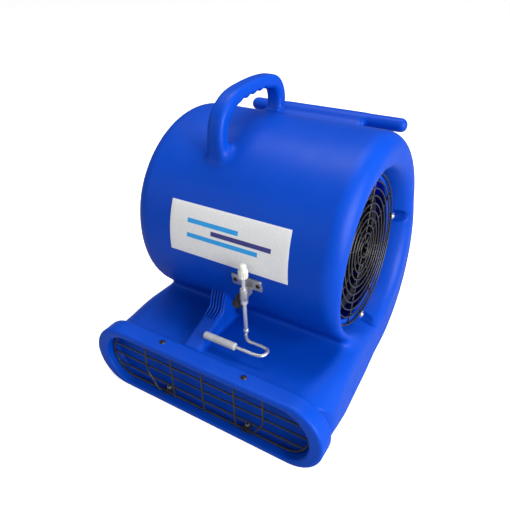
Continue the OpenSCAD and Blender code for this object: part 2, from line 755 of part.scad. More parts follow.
// ---------- carpet clamp ----------
crank_z = 130;
crank_x = 78;
crank_r = 14.5;
crank_wire_r = 2.6;
grip_y = rod_y - 2 * crank_r;
collar_z = 199.4;
foot_z = collar_z + 3.2;
foot_reach = 15.5;
module on_rod(z) { translate([rod_x, rod_y, z]) children(); }
// local +X points from the rod to the foot
module foot_frame() { on_rod(foot_z) rotate([0, 0, 158]) children(); }
module clamp_bracket() color([0.6, 0.6, 0.6]) difference() {
    union() {
        on_drum_front(bracket_x) difference() {
            union() {
                translate([-21, -2.52, -11]) cube([42, 2.5, 22]);
                for (s = [-1, 1])
                    translate([s * 21, -0.02, 0]) rotate([90, 0, 0]) cylinder(r = 11, h = 2.5);
            }
            for (s = [-1, 1])
                translate([s * bracket_screw_x, 5, 0]) rotate([90, 0, 0])
                    cylinder(r = 2.3, h = 12);
        }
        translate([rod_x - 5, rod_y, 207]) cube([10, 18, 15]);
        on_rod(206) cylinder(r = 7, h = 17);
    }
    on_rod(200) cylinder(r = rod_r + 0.06, h = 40);
}
module clamp_bracket_screws() color([0.12, 0.09, 0.07]) for (s = [-1, 1])
    on_drum_front(bracket_x + s * bracket_screw_x)
        translate([0, -2.54, 0]) rotate([90, 0, 0]) dome_screw(4.2, 2.6, 2, 7);
module clamp_rod() color(bright) {
    on_rod(crank_z + 3) cylinder(r = rod_r, h = 125);
    on_rod(crank_z + 1) sphere(5);
    // U-shaped crank turning back to the grip
    rod([rod_x + 2, rod_y, crank_z], [crank_x, rod_y, crank_z], crank_wire_r);
    translate([crank_x, rod_y - crank_r, crank_z]) rotate([0, 0, -90])
        bend(crank_r, crank_wire_r, 180);
    rod([-20, grip_y, crank_z], [crank_x, grip_y, crank_z], crank_wire_r);
}
module clamp_grip() color([0.62, 0.63, 0.64]) along_x(-20.5, grip_y, crank_z) difference() {
    union() {
        up(3) cylinder(r = 6.2, h = grip_l - 6);
        cylinder(r1 = 4.4, r2 = 6.2, h = 3.001);
        up(grip_l - 3.001) cylinder(r1 = 6.2, r2 = 4.6, h = 3.001);
    }
    up(0.45) cylinder(r = crank_wire_r + 0.02, h = grip_l);
}
module clamp_cap() color([0.85, 0.84, 0.78]) on_rod(248) difference() {
    rotate_extrude() polygon([[0, 0], [8, 0], [9, 2], [9, 14], [7, 18], [5.5, 22], [0, 24]]);
    ring_of(12, 9.6) up(-1) cylinder(r = 1.3, h = 14);
    up(-1) cylinder(r = rod_r + 0.02, h = 11.05);
}
// the lower collar is bored for the foot stud
module clamp_collars() color([0.75, 0.75, 0.76]) {
    difference() {
        on_rod(collar_z) tube(6, rod_r + 0.01, 6.5);
        foot_frame() rotate([0, 90, 0]) cylinder(r = 2.02, h = 12);
    }
    on_rod(223.1) tube(6, rod_r + 0.01, 3.4);
}
module clamp_foot_stud() color([0.7, 0.7, 0.71]) foot_frame() {
    along_x(rod_r + 0.1, 0, 0) cylinder(r = 2, h = foot_reach - rod_r);
    translate([foot_reach, 0, 0]) sphere(3.2);
}
module clamp_foot() color(rubber) foot_frame() translate([foot_reach, 0, 0])
    rotate([0, 160, 0]) difference() {
        rotate_extrude() polygon([
            [0, -5], [4.2, -5], [5.4, -2], [8.4, 16], [8.4, 20], [7, 22], [0, 22]]);
        // ball socket and stud hole
        rotate([0, -160, 0]) {
            sphere(3.22);
            rotate([0, -90, 0]) cylinder(r = 2.1, h = 12);
        }
    }

housing();
info_label();
outlet_guard();
outlet_guard_clips();
outlet_guard_screws();
outlet_guard_nuts();
inlet_guard_right();
inlet_guard_left();
inlet_screws_right();
inlet_screws_left();
inlet_washers();
threaded_inserts();
motor_bracket();
motor_isolators();
motor_mount_bolts();
motor_shell();
motor_drive_bell();
motor_rear_bell();
motor_through_bolts();
motor_stator();
stator_windings();
bearing_outer_races();
run_capacitor();
capacitor_clip();
capacitor_screw();
switch_plate();
switch_plate_screws();
switch_body();
switch_nut();
internal_leads();
strain_relief();
power_cord();
cord_strap();
plug_body();
plug_pins();
clamp_bracket();
clamp_bracket_screws();
impeller_wheel();
impeller_hub();
hub_rivets();
hub_set_screw();
motor_shaft();
motor_rotor_core();
bearing_inner_races();
bearing_balls();
bearing_cages();
speed_knob();
switch_spindle();
clamp_rod();
clamp_grip();
clamp_cap();
clamp_collars();
clamp_foot_stud();
clamp_foot();
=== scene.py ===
import bpy, math, json
import numpy as np
from mathutils import Vector, Matrix
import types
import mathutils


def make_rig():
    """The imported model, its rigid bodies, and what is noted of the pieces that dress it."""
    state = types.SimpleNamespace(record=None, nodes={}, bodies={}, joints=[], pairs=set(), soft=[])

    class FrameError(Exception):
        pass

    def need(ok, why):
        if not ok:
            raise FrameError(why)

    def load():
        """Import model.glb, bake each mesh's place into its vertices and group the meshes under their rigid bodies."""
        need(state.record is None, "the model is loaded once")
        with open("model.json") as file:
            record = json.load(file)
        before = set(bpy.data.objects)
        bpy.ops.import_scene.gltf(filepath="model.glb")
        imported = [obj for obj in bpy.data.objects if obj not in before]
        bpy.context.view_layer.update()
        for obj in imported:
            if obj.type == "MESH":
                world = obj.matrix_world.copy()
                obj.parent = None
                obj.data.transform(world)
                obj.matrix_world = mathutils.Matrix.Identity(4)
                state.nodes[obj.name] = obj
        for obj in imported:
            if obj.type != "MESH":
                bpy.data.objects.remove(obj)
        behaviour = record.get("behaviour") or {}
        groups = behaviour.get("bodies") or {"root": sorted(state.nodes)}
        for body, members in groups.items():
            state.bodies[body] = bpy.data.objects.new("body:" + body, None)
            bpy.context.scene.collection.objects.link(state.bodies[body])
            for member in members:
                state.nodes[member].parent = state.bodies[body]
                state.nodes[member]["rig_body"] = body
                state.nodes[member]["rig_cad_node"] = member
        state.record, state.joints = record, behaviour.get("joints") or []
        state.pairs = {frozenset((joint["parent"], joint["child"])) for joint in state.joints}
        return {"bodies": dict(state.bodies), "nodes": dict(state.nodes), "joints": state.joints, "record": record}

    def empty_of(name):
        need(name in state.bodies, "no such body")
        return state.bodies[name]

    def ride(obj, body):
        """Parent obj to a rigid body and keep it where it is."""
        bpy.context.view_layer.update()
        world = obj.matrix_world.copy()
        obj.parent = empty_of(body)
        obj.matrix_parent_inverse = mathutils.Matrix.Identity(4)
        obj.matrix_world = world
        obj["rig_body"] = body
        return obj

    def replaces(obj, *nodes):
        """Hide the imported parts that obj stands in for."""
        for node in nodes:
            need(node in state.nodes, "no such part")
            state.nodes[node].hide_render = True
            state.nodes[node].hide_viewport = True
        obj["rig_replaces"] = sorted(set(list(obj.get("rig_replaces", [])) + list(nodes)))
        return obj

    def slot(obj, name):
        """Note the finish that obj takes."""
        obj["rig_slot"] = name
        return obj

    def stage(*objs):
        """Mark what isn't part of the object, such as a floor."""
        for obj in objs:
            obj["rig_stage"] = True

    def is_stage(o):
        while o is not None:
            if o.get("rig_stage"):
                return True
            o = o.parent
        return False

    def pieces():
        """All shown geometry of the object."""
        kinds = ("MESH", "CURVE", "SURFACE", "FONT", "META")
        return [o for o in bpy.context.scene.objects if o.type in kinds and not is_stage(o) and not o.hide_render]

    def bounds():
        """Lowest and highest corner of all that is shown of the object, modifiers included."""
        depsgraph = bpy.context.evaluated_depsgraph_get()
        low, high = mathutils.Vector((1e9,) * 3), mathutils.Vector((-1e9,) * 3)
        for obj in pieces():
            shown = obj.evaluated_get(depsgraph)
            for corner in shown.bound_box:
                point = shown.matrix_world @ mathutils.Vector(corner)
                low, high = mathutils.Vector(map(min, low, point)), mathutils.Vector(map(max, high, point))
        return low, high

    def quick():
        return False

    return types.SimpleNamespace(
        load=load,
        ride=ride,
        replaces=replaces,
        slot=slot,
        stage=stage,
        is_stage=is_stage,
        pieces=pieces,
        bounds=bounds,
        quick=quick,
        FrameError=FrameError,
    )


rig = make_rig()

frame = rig.load()
size_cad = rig.bounds()
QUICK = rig.quick()
S = 0.001                       # millimetres to metres
FY, FZ = 33.0, 236.0            # fan axis
DY, DZ, DR = 43.0, 260.0, 183.0  # drum centre and radius
BODY = "frame_body"
F32 = np.float32


# ------------------------------------------------------------------ meshes
def make(name, verts, faces, mat, smooth=True, angle=None):
    me = bpy.data.meshes.new(name)
    me.from_pydata([tuple(v) for v in np.asarray(verts, float) * S], [], [tuple(int(i) for i in f) for f in faces])
    me.validate()
    o = bpy.data.objects.new(name, me)
    bpy.context.scene.collection.objects.link(o)
    if mat is not None:
        me.materials.append(mat)
    me.polygons.foreach_set("use_smooth", [smooth] * len(me.polygons))
    me.update()
    if angle is not None:
        sharp_by_angle(o, angle)
    return o


def sharp_by_angle(o, angle):
    me = o.data
    me.polygons.foreach_set("use_smooth", [True] * len(me.polygons))
    n = len(me.edges)
    first = np.full(n, -1, int)
    second = np.full(n, -1, int)
    nor = np.array([p.normal for p in me.polygons], float).reshape(-1, 3)
    for p in me.polygons:
        for li in p.loop_indices:
            e = me.loops[li].edge_index
            if first[e] < 0:
                first[e] = p.index
            else:
                second[e] = p.index
    ok = (first >= 0) & (second >= 0)
    dots = np.ones(n)
    dots[ok] = np.einsum("ij,ij->i", nor[first[ok]], nor[second[ok]])
    sharp = dots < math.cos(math.radians(angle))
    att = me.attributes.get("sharp_edge") or me.attributes.new("sharp_edge", "BOOLEAN", "EDGE")
    att.data.foreach_set("value", sharp)
    me.update()


class Mesh:
    """Collects several closed shells into one mesh."""
    def __init__(self):
        self.v, self.f = [], []

    def add(self, verts, faces):
        b = len(self.v)
        self.v.extend([tuple(map(float, p)) for p in verts])
        self.f.extend([tuple(int(i) + b for i in q) for q in faces])

    def tube(self, pts, r, seg=12, closed=False, cap=True):
        pts = np.asarray(pts, float)
        n = len(pts)
        rr = np.full(n, float(r)) if np.isscalar(r) else np.asarray(r, float)
        if closed:
            tan = np.roll(pts, -1, 0) - np.roll(pts, 1, 0)
        else:
            tan = np.gradient(pts, axis=0)
        tan /= np.linalg.norm(tan, axis=1)[:, None]
        ref = np.array([0, 0, 1.0]) if abs(tan[0][2]) < 0.9 else np.array([1.0, 0, 0])
        u = ref - tan[0] * (ref @ tan[0]); u /= np.linalg.norm(u)
        us = [u]
        for i in range(1, n):
            u = us[-1] - tan[i] * (us[-1] @ tan[i])
            u /= np.linalg.norm(u)
            us.append(u)
        us = np.array(us)
        if closed:      # spread the twist so the loop meets itself
            u_end = us[-1] - tan[0] * (us[-1] @ tan[0]); u_end /= np.linalg.norm(u_end)
            a = math.atan2(np.cross(u_end, us[0]) @ tan[0], u_end @ us[0])
            for i in range(n):
                t = a * i / n
                w = np.cross(tan[i], us[i])
                us[i] = us[i] * math.cos(t) + w * math.sin(t)
        vs = np.cross(tan, us)
        th = np.linspace(0, 2 * math.pi, seg, endpoint=False)
        rings = [pts[i] + rr[i] * (np.cos(th)[:, None] * us[i] + np.sin(th)[:, None] * vs[i]) for i in range(n)]
        verts = [p for ring in rings for p in ring]
        faces = []
        m = n if closed else n - 1
        for i in range(m):
            j = (i + 1) % n
            for k in range(seg):
                l = (k + 1) % seg
                faces.append((i * seg + k, i * seg + l, j * seg + l, j * seg + k))
        if cap and not closed:
            # domed ends
            for end, sgn in ((0, -1), (n - 1, 1)):
                base = end * seg
                last = list(range(base, base + seg))
                for a in (35, 65):
                    c = pts[end] + tan[end] * sgn * rr[end] * 0.75 * math.sin(math.radians(a))
                    rad = rr[end] * math.cos(math.radians(a))
                    b = len(verts)
                    verts += list(c + rad * (np.cos(th)[:, None] * us[end] + np.sin(th)[:, None] * vs[end]))
                    new = list(range(b, b + seg))
                    for k in range(seg):
                        l = (k + 1) % seg
                        faces.append((last[k], last[l], new[l], new[k]) if sgn > 0 else (last[l], last[k], new[k], new[l]))
                    last = new
                b = len(verts)
                verts.append(pts[end] + tan[end] * sgn * rr[end] * 0.75)
                for k in range(seg):
                    l = (k + 1) % seg
                    faces.append((last[k], last[l], b) if sgn > 0 else (last[l], last[k], b))
        self.add(verts, faces)
        return self

    def lathe(self, prof, origin, axis, seg=48, a0=0.0):
        """prof: list of (radius, distance along axis), first and last on the axis or a closed ring when it starts and ends off it."""
        origin = np.asarray(origin, float)
        ax = np.asarray(axis, float); ax /= np.linalg.norm(ax)
        ref = np.array([0, 0, 1.0]) if abs(ax[2]) < 0.9 else np.array([1.0, 0, 0])
        u = np.cross(ref, ax); u /= np.linalg.norm(u)
        v = np.cross(ax, u)
        th = np.linspace(0, 2 * math.pi, seg, endpoint=False) + a0
        idx, verts = [], []
        for r, z in prof:
            if r < 1e-6:
                idx.append([len(verts)] * seg); verts.append(origin + ax * z)
            else:
                b = len(verts)
                verts += list(origin + ax * z + r * (np.cos(th)[:, None] * u + np.sin(th)[:, None] * v))
                idx.append(list(range(b, b + seg)))
        faces = []
        closed_ring = prof[0][0] > 1e-6 and prof[-1][0] > 1e-6
        m = len(prof) if closed_ring else len(prof) - 1
        for i in range(m):
            A, B = idx[i], idx[(i + 1) % len(prof)]
            for k in range(seg):
                l = (k + 1) % seg
                q = [A[k], A[l], B[l], B[k]]
                out = []
                for w in q:
                    if not out or w != out[-1]:
                        out.append(w)
                if out[0] == out[-1]:
                    out.pop()
                if len(out) > 2:
                    faces.append(tuple(out))
        self.add(verts, faces)
        return self

    def done(self, name, mat, body=BODY, reps=(), slot=None, angle=None, smooth=True):
        o = make(name, self.v, self.f, mat, smooth=smooth, angle=angle)
        fix_normals(o)
        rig.ride(o, body)
        if reps:
            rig.replaces(o, *reps)
        if slot:
            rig.slot(o, slot)
        return o


def fix_normals(o):
    import bmesh
    bm = bmesh.new()
    bm.from_mesh(o.data)
    bmesh.ops.recalc_face_normals(bm, faces=bm.faces)
    bm.to_mesh(o.data)
    bm.free()
    o.data.update()


def catmull(p, n=8, closed=False):
    p = np.asarray(p, float)
    out = []
    N = len(p)
    rng = range(N) if closed else range(N - 1)
    for i in rng:
        a, b, c, d = (p[(i - 1) % N], p[i], p[(i + 1) % N], p[(i + 2) % N]) if closed else (p[max(i - 1, 0)], p[i], p[i + 1], p[min(i + 2, N - 1)])
        for t in np.linspace(0, 1, n, endpoint=False):
            out.append(0.5 * ((2 * b) + (c - a) * t + (2 * a - 5 * b + 4 * c - d) * t * t + (3 * b - a - 3 * c + d) * t ** 3))
    if not closed:
        out.append(p[-1])
    return np.array(out)


def rounded_path(p, r, n=7):
    """Polyline with its corners turned into arcs of about radius r."""
    p = np.asarray(p, float)
    out = [p[0]]
    for i in range(1, len(p) - 1):
        a, b, c = p[i - 1], p[i], p[i + 1]
        u, w = (a - b), (c - b)
        lu, lw = np.linalg.norm(u), np.linalg.norm(w)
        u, w = u / lu, w / lw
        ang = math.acos(max(-1, min(1, u @ w)))
        rad = r[i - 1] if hasattr(r, "__len__") else r
        t = min(rad / math.tan(ang / 2), 0.48 * lu, 0.48 * lw)
        s, e = b + u * t, b + w * t
        for k in np.linspace(0, 1, n):
            out.append((1 - k) ** 2 * s + 2 * k * (1 - k) * b + k * k * e)
    out.append(p[-1])
    return np.array(out)


# ------------------------------------------------------------------ implicit surfaces
def smin(a, b, k):
    h = np.clip(0.5 + 0.5 * (b - a) / k, 0, 1)
    return b + (a - b) * h - k * h * (1 - h)


def smax(a, b, k):
    return -smin(-a, -b, k)


def surface_nets(fn, lo, hi, h):
    """Closed quad mesh of fn = 0, vertices pulled onto the surface."""
    lo, hi = np.array(lo, float), np.array(hi, float)
    n = np.ceil((hi - lo) / h).astype(int) + 1
    ax = [(lo[k] + h * np.arange(n[k])).astype(F32) for k in range(3)]
    D = np.empty(tuple(n), F32)
    step = 24
    for i in range(0, n[0], step):
        X, Y, Z = np.meshgrid(ax[0][i:i + step], ax[1], ax[2], indexing="ij")
        D[i:i + step] = fn(X, Y, Z)
    neg = D < 0
    c = [neg[:-1, :-1, :-1], neg[1:, :-1, :-1], neg[:-1, 1:, :-1], neg[1:, 1:, :-1], neg[:-1, :-1, 1:], neg[1:, :-1, 1:], neg[:-1, 1:, 1:], neg[1:, 1:, 1:]]
    cnt = sum(x.astype(np.int8) for x in c)
    cell = (cnt > 0) & (cnt < 8)
    ids = np.full(cell.shape, -1, np.int64)
    ci = np.argwhere(cell)
    ids[cell] = np.arange(len(ci))
    off = np.array([[0, 0, 0], [1, 0, 0], [0, 1, 0], [1, 1, 0], [0, 0, 1], [1, 0, 1], [0, 1, 1], [1, 1, 1]])
    val = np.stack([D[ci[:, 0] + o[0], ci[:, 1] + o[1], ci[:, 2] + o[2]] for o in off], 1)
    edges = [(0, 1), (2, 3), (4, 5), (6, 7), (0, 2), (1, 3), (4, 6), (5, 7), (0, 4), (1, 5), (2, 6), (3, 7)]
    acc = np.zeros((len(ci), 3)); num = np.zeros(len(ci))
    for a, b in edges:
        va, vb = val[:, a], val[:, b]
        m = (va < 0) != (vb < 0)
        t = np.where(m, va / np.where(m, va - vb, 1), 0)
        p = off[a] + t[:, None] * (off[b] - off[a])
        acc[m] += p[m]; num[m] += 1
    V = lo + h * (ci + acc / num[:, None])
    for it in range(3):
        e = 0.4
        d = fn(V[:, 0], V[:, 1], V[:, 2])
        g = np.stack([fn(V[:, 0] + e * (k == 0), V[:, 1] + e * (k == 1), V[:, 2] + e * (k == 2)) - fn(V[:, 0] - e * (k == 0), V[:, 1] - e * (k == 1), V[:, 2] - e * (k == 2)) for k in range(3)], 1) / (2 * e)
        gl = np.maximum((g * g).sum(1), 0.09)
        V = V - np.clip(d / gl, -h * 0.6, h * 0.6)[:, None] * g
    F = []
    for k in range(3):
        sl0 = [slice(None)] * 3; sl1 = [slice(None)] * 3
        sl0[k] = slice(0, -1); sl1[k] = slice(1, None)
        a, b = neg[tuple(sl0)], neg[tuple(sl1)]
        ch = np.argwhere(a != b)
        u, w = (k + 1) % 3, (k + 2) % 3
        ok = (ch[:, u] > 0) & (ch[:, w] > 0) & (ch[:, u] < n[u] - 1) & (ch[:, w] < n[w] - 1)
        ch = ch[ok]
        inside = a[ch[:, 0], ch[:, 1], ch[:, 2]]
        def at(du, dw):
            q = ch.copy(); q[:, u] += du; q[:, w] += dw
            return ids[q[:, 0], q[:, 1], q[:, 2]]
        q = np.stack([at(-1, -1), at(0, -1), at(0, 0), at(-1, 0)], 1)
        q[~inside] = q[~inside][:, ::-1]
        F.append(q)
    F = np.concatenate(F)
    F = F[(F >= 0).all(1)]
    return V, F


def fast_mesh(name, V, F, mat):
    me = bpy.data.meshes.new(name)
    me.vertices.add(len(V)); me.vertices.foreach_set("co", (V * S).astype(F32).ravel())
    me.loops.add(len(F) * 4); me.loops.foreach_set("vertex_index", F.astype(np.int32).ravel())
    me.polygons.add(len(F)); me.polygons.foreach_set("loop_start", np.arange(0, len(F) * 4, 4, dtype=np.int32))
    me.polygons.foreach_set("use_smooth", np.ones(len(F), bool))
    me.update(calc_edges=True)
    me.validate()
    me.materials.append(mat)
    o = bpy.data.objects.new(name, me)
    bpy.context.scene.collection.objects.link(o)
    return o


# ------------------------------------------------------------------ materials
def new_mat(name):
    m = bpy.data.materials.new(name)
    m.use_nodes = True
    nt = m.node_tree
    return m, nt, nt.nodes["Principled BSDF"]


def mix_rgb(nt, fac, a, b):
    n = nt.nodes.new("ShaderNodeMix"); n.data_type = "RGBA"
    if hasattr(fac, "links"):
        nt.links.new(fac, n.inputs[0])
    else:
        n.inputs[0].default_value = fac
    for i, c in ((6, a), (7, b)):
        if hasattr(c, "links"):
            nt.links.new(c, n.inputs[i])
        else:
            n.inputs[i].default_value = (*c, 1)
    return n.outputs[2]


def noise(nt, scale, detail=4, rough=0.55, coord=None, kind="ShaderNodeTexNoise"):
    n = nt.nodes.new(kind)
    n.inputs["Scale"].default_value = scale
    if kind == "ShaderNodeTexNoise":
        n.inputs["Detail"].default_value = detail
        n.inputs["Roughness"].default_value = rough
    if coord is not None:
        nt.links.new(coord, n.inputs["Vector"])
    return n.outputs["Fac"] if "Fac" in n.outputs else n.outputs[0]


def ramp(nt, src, lo, hi, a=0.0, b=1.0):
    n = nt.nodes.new("ShaderNodeMapRange")
    nt.links.new(src, n.inputs["Value"])
    n.inputs["From Min"].default_value = lo
    n.inputs["From Max"].default_value = hi
    n.inputs["To Min"].default_value = a
    n.inputs["To Max"].default_value = b
    return n.outputs["Result"]


def geo(nt):
    return nt.nodes.new("ShaderNodeTexCoord").outputs["Object"]


def surface(name, col, col2, rough=(0.35, 0.5), metal=0.0, scale=20, bump=0.1, bump_scale=400, edge=None, edge_amt=0.5, spec=0.5, coat=0.0, stretch=None, dist=0.0004):
    """General finish: two-tone mottling, varying roughness, fine bump, wear on raised edges."""
    m, nt, bs = new_mat(name)
    co = geo(nt)
    if stretch:
        mp = nt.nodes.new("ShaderNodeMapping")
        mp.inputs["Scale"].default_value = stretch
        nt.links.new(co, mp.inputs["Vector"])
        cs = mp.outputs["Vector"]
    else:
        cs = co
    f = noise(nt, scale, 5, 0.6, co)
    c = mix_rgb(nt, ramp(nt, f, 0.3, 0.7), col, col2)
    if edge is not None:
        g = nt.nodes.new("ShaderNodeNewGeometry")
        pe = ramp(nt, g.outputs["Pointiness"], 0.53, 0.62)
        n2 = noise(nt, 90, 4, 0.6, co)
        mul = nt.nodes.new("ShaderNodeMath"); mul.operation = "MULTIPLY"
        nt.links.new(pe, mul.inputs[0]); nt.links.new(ramp(nt, n2, 0.35, 0.65, 0, edge_amt), mul.inputs[1])
        c = mix_rgb(nt, mul.outputs[0], c, edge)
    nt.links.new(c, bs.inputs["Base Color"])
    r = noise(nt, scale * 3, 4, 0.5, cs)
    nt.links.new(ramp(nt, r, 0.3, 0.7, rough[0], rough[1]), bs.inputs["Roughness"])
    bs.inputs["Metallic"].default_value = metal
    bs.inputs["Specular IOR Level"].default_value = spec
    bs.inputs["Coat Weight"].default_value = coat
    bs.inputs["Coat Roughness"].default_value = 0.25
    if bump:
        b = nt.nodes.new("ShaderNodeBump")
        b.inputs["Strength"].default_value = bump
        b.inputs["Distance"].default_value = dist
        nt.links.new(noise(nt, bump_scale, 3, 0.5, cs), b.inputs["Height"])
        nt.links.new(b.outputs["Normal"], bs.inputs["Normal"])
    return m


def blue_plastic():
    m, nt, bs = new_mat("rotomoulded_blue")
    co = geo(nt)
    f = noise(nt, 7, 5, 0.6, co)
    c = mix_rgb(nt, ramp(nt, f, 0.3, 0.7), BLUE_A, BLUE_B)
    fine = noise(nt, 420, 2, 0.5, co)
    c = mix_rgb(nt, ramp(nt, fine, 0.35, 0.7, 0.0, 0.25), c, BLUE_C)
    # darker blue in noisy patches towards the bottom edge
    sep = nt.nodes.new("ShaderNodeSeparateXYZ"); nt.links.new(co, sep.inputs[0])
    low = ramp(nt, sep.outputs["Z"], 0.0, 0.03, 1.0, 0.0)
    sc = ramp(nt, noise(nt, 60, 6, 0.7, co), 0.5, 0.72, 0.0, 0.35)
    mul = nt.nodes.new("ShaderNodeMath"); mul.operation = "MULTIPLY"
    nt.links.new(low, mul.inputs[0]); nt.links.new(sc, mul.inputs[1])
    c = mix_rgb(nt, mul.outputs[0], c, (0.03, 0.05, 0.16))
    nt.links.new(c, bs.inputs["Base Color"])
    nt.links.new(ramp(nt, noise(nt, 28, 5, 0.6, co), 0.3, 0.7, 0.36, 0.47), bs.inputs["Roughness"])
    bs.inputs["Specular IOR Level"].default_value = 0.13
    bs.inputs["Coat Weight"].default_value = 0.0
    bs.inputs["Coat Roughness"].default_value = 0.3
    # painted glow: emission on the inner walls of the scroll, fading out towards the open sides, stands in for light
    # reaching them through the openings
    rad = nt.nodes.new("ShaderNodeVectorMath"); rad.operation = "DISTANCE"
    flat = nt.nodes.new("ShaderNodeCombineXYZ"); nt.links.new(sep.outputs["Y"], flat.inputs[1]); nt.links.new(sep.outputs["Z"], flat.inputs[2])
    nt.links.new(flat.outputs[0], rad.inputs[0]); rad.inputs[1].default_value = (0, DY * S, DZ * S)
    ins = ramp(nt, rad.outputs["Value"], 0.181, 0.172, 0.0, 1.0)
    absx = nt.nodes.new("ShaderNodeMath"); absx.operation = "ABSOLUTE"; nt.links.new(sep.outputs["X"], absx.inputs[0])
    inx = ramp(nt, absx.outputs[0], 0.163, 0.150, 0.0, 0.30)
    painted_glow = nt.nodes.new("ShaderNodeMath"); painted_glow.operation = "MULTIPLY"
    nt.links.new(ins, painted_glow.inputs[0]); nt.links.new(inx, painted_glow.inputs[1])
    bs.inputs["Emission Color"].default_value = (0.0, 0.01, 1.0, 1)
    nt.links.new(painted_glow.outputs[0], bs.inputs["Emission Strength"])
    # long soft ripples of the moulded wall plus a fine powder grain
    b1 = nt.nodes.new("ShaderNodeBump"); b1.inputs["Strength"].default_value = 0.5; b1.inputs["Distance"].default_value = 0.0012
    nt.links.new(noise(nt, 14, 3, 0.5, co), b1.inputs["Height"])
    b2 = nt.nodes.new("ShaderNodeBump"); b2.inputs["Strength"].default_value = 0.25; b2.inputs["Distance"].default_value = 0.00022
    nt.links.new(noise(nt, 520, 3, 0.6, co), b2.inputs["Height"])
    nt.links.new(b1.outputs["Normal"], b2.inputs["Normal"])
    nt.links.new(b2.outputs["Normal"], bs.inputs["Normal"])
    return m


BLUE_A, BLUE_B, BLUE_C = (0.0, 0.046, 0.41), (0.0, 0.055, 0.465), (0.0, 0.066, 0.51)
M = {}
M["blue"] = blue_plastic()
M["wire"] = surface("powder_coated_wire", (0.012, 0.012, 0.013), (0.02, 0.02, 0.022), (0.25, 0.42), 0.0, 60, 0.15, 900, edge=(0.1, 0.1, 0.1), edge_amt=0.3)
M["nylon"] = surface("black_nylon", (0.012, 0.012, 0.012), (0.022, 0.022, 0.023), (0.4, 0.6), 0.0, 45, 0.25, 700, edge=(0.06, 0.06, 0.06), edge_amt=0.4)
M["dark_screw"] = surface("black_oxide_screw", (0.02, 0.015, 0.012), (0.05, 0.035, 0.025), (0.3, 0.5), 0.6, 300, 0.2, 1200, edge=(0.2, 0.16, 0.12), edge_amt=0.4)
M["zinc"] = surface("zinc_plated", (0.68, 0.69, 0.69), (0.80, 0.80, 0.78), (0.26, 0.44), 0.82, 120, 0.12, 900, edge=(0.85, 0.85, 0.85), edge_amt=0.3, stretch=(1, 1, 14))
M["galv"] = surface("galvanised_plate", (0.40, 0.41, 0.41), (0.58, 0.58, 0.57), (0.3, 0.5), 0.9, 160, 0.25, 700, edge=(0.7, 0.7, 0.7), edge_amt=0.4)
M["brass"] = surface("brass", (0.62, 0.42, 0.14), (0.75, 0.55, 0.22), (0.22, 0.38), 1.0, 150, 0.1, 900)
M["rubber"] = surface("rubber", (0.012, 0.012, 0.011), (0.03, 0.028, 0.025), (0.6, 0.8), 0.0, 90, 0.4, 500)
M["motor"] = surface("motor_paint", (0.015, 0.015, 0.017), (0.03, 0.03, 0.032), (0.28, 0.42), 0.1, 30, 0.2, 400, edge=(0.15, 0.15, 0.15))
M["alloy"] = surface("die_cast_alloy", (0.36, 0.37, 0.38), (0.48, 0.48, 0.49), (0.4, 0.6), 0.85, 60, 0.5, 500)
M["lam"] = surface("laminations", (0.2, 0.2, 0.21), (0.32, 0.32, 0.33), (0.35, 0.5), 0.9, 40, 0.4, 300, stretch=(30, 1, 1))
M["copper"] = surface("enamelled_copper", (0.42, 0.13, 0.04), (0.6, 0.23, 0.07), (0.25, 0.4), 0.7, 80, 0.6, 250, stretch=(1, 1, 1))
M["steel"] = surface("bearing_steel", (0.62, 0.62, 0.64), (0.72, 0.72, 0.73), (0.08, 0.2), 1.0, 90, 0.05, 900)
M["plate"] = surface("brushed_plate", (0.5, 0.51, 0.52), (0.62, 0.62, 0.63), (0.25, 0.42), 1.0, 30, 0.3, 120, stretch=(1, 1, 30))
M["cord"] = surface("cord_sheath", (0.012, 0.012, 0.012), (0.022, 0.022, 0.022), (0.45, 0.62), 0.0, 60, 0.3, 500)
M["strap"] = surface("woven_strap", (0.02, 0.02, 0.022), (0.045, 0.045, 0.05), (0.7, 0.9), 0.0, 200, 0.8, 900)
M["grip"] = surface("grey_sleeve", (0.36, 0.37, 0.39), (0.44, 0.45, 0.46), (0.42, 0.58), 0.0, 60, 0.25, 600, edge=(0.6, 0.6, 0.6))
M["wheel"] = surface("wheel_nylon", (0.010, 0.010, 0.011), (0.02, 0.02, 0.021), (0.3, 0.5), 0.0, 30, 0.2, 500, edge=(0.05, 0.05, 0.05), edge_amt=0.4)
M["cap"] = surface("nylon_cap", (0.56, 0.57, 0.52), (0.68, 0.68, 0.62), (0.25, 0.4), 0.0, 120, 0.3, 300)


def label_mat():
    """Pale foil of the label panel, no lettering; its two plain colour bands take finishes of their own."""
    m, nt, bs = new_mat("label_foil")
    co = geo(nt)
    f = noise(nt, 380, 3, 0.6, co)
    c = mix_rgb(nt, ramp(nt, f, 0.3, 0.7), (0.68, 0.69, 0.70), (0.78, 0.78, 0.79))
    nt.links.new(c, bs.inputs["Base Color"])
    nt.links.new(ramp(nt, noise(nt, 30, 4, 0.5, co), 0.3, 0.7, 0.32, 0.45), bs.inputs["Roughness"])
    b = nt.nodes.new("ShaderNodeBump"); b.inputs["Strength"].default_value = 0.15; b.inputs["Distance"].default_value = 0.0002
    nt.links.new(noise(nt, 500, 3, 0.5, co), b.inputs["Height"]); nt.links.new(b.outputs["Normal"], bs.inputs["Normal"])
    return m


M["label"] = label_mat()
M["ink_light"] = surface("label_band_light", (0.01, 0.30, 0.72), (0.015, 0.34, 0.78), (0.35, 0.45), 0, 80, 0.1, 500)
M["ink_dark"] = surface("label_band_dark", (0.03, 0.03, 0.19), (0.04, 0.04, 0.23), (0.35, 0.45), 0, 80, 0.1, 500)

# ------------------------------------------------------------------ housing
HX, HWID, HT = -56.0, 31.0, 25.0
HC = catmull([[-58, 385], [-65, 412], [-66.5, 441], [-55.5, 470], [-25, 490.5], [20, 496.5], [70, 496.5], [108, 488.5], [124, 464], [122, 434], [112, 400]], 6)


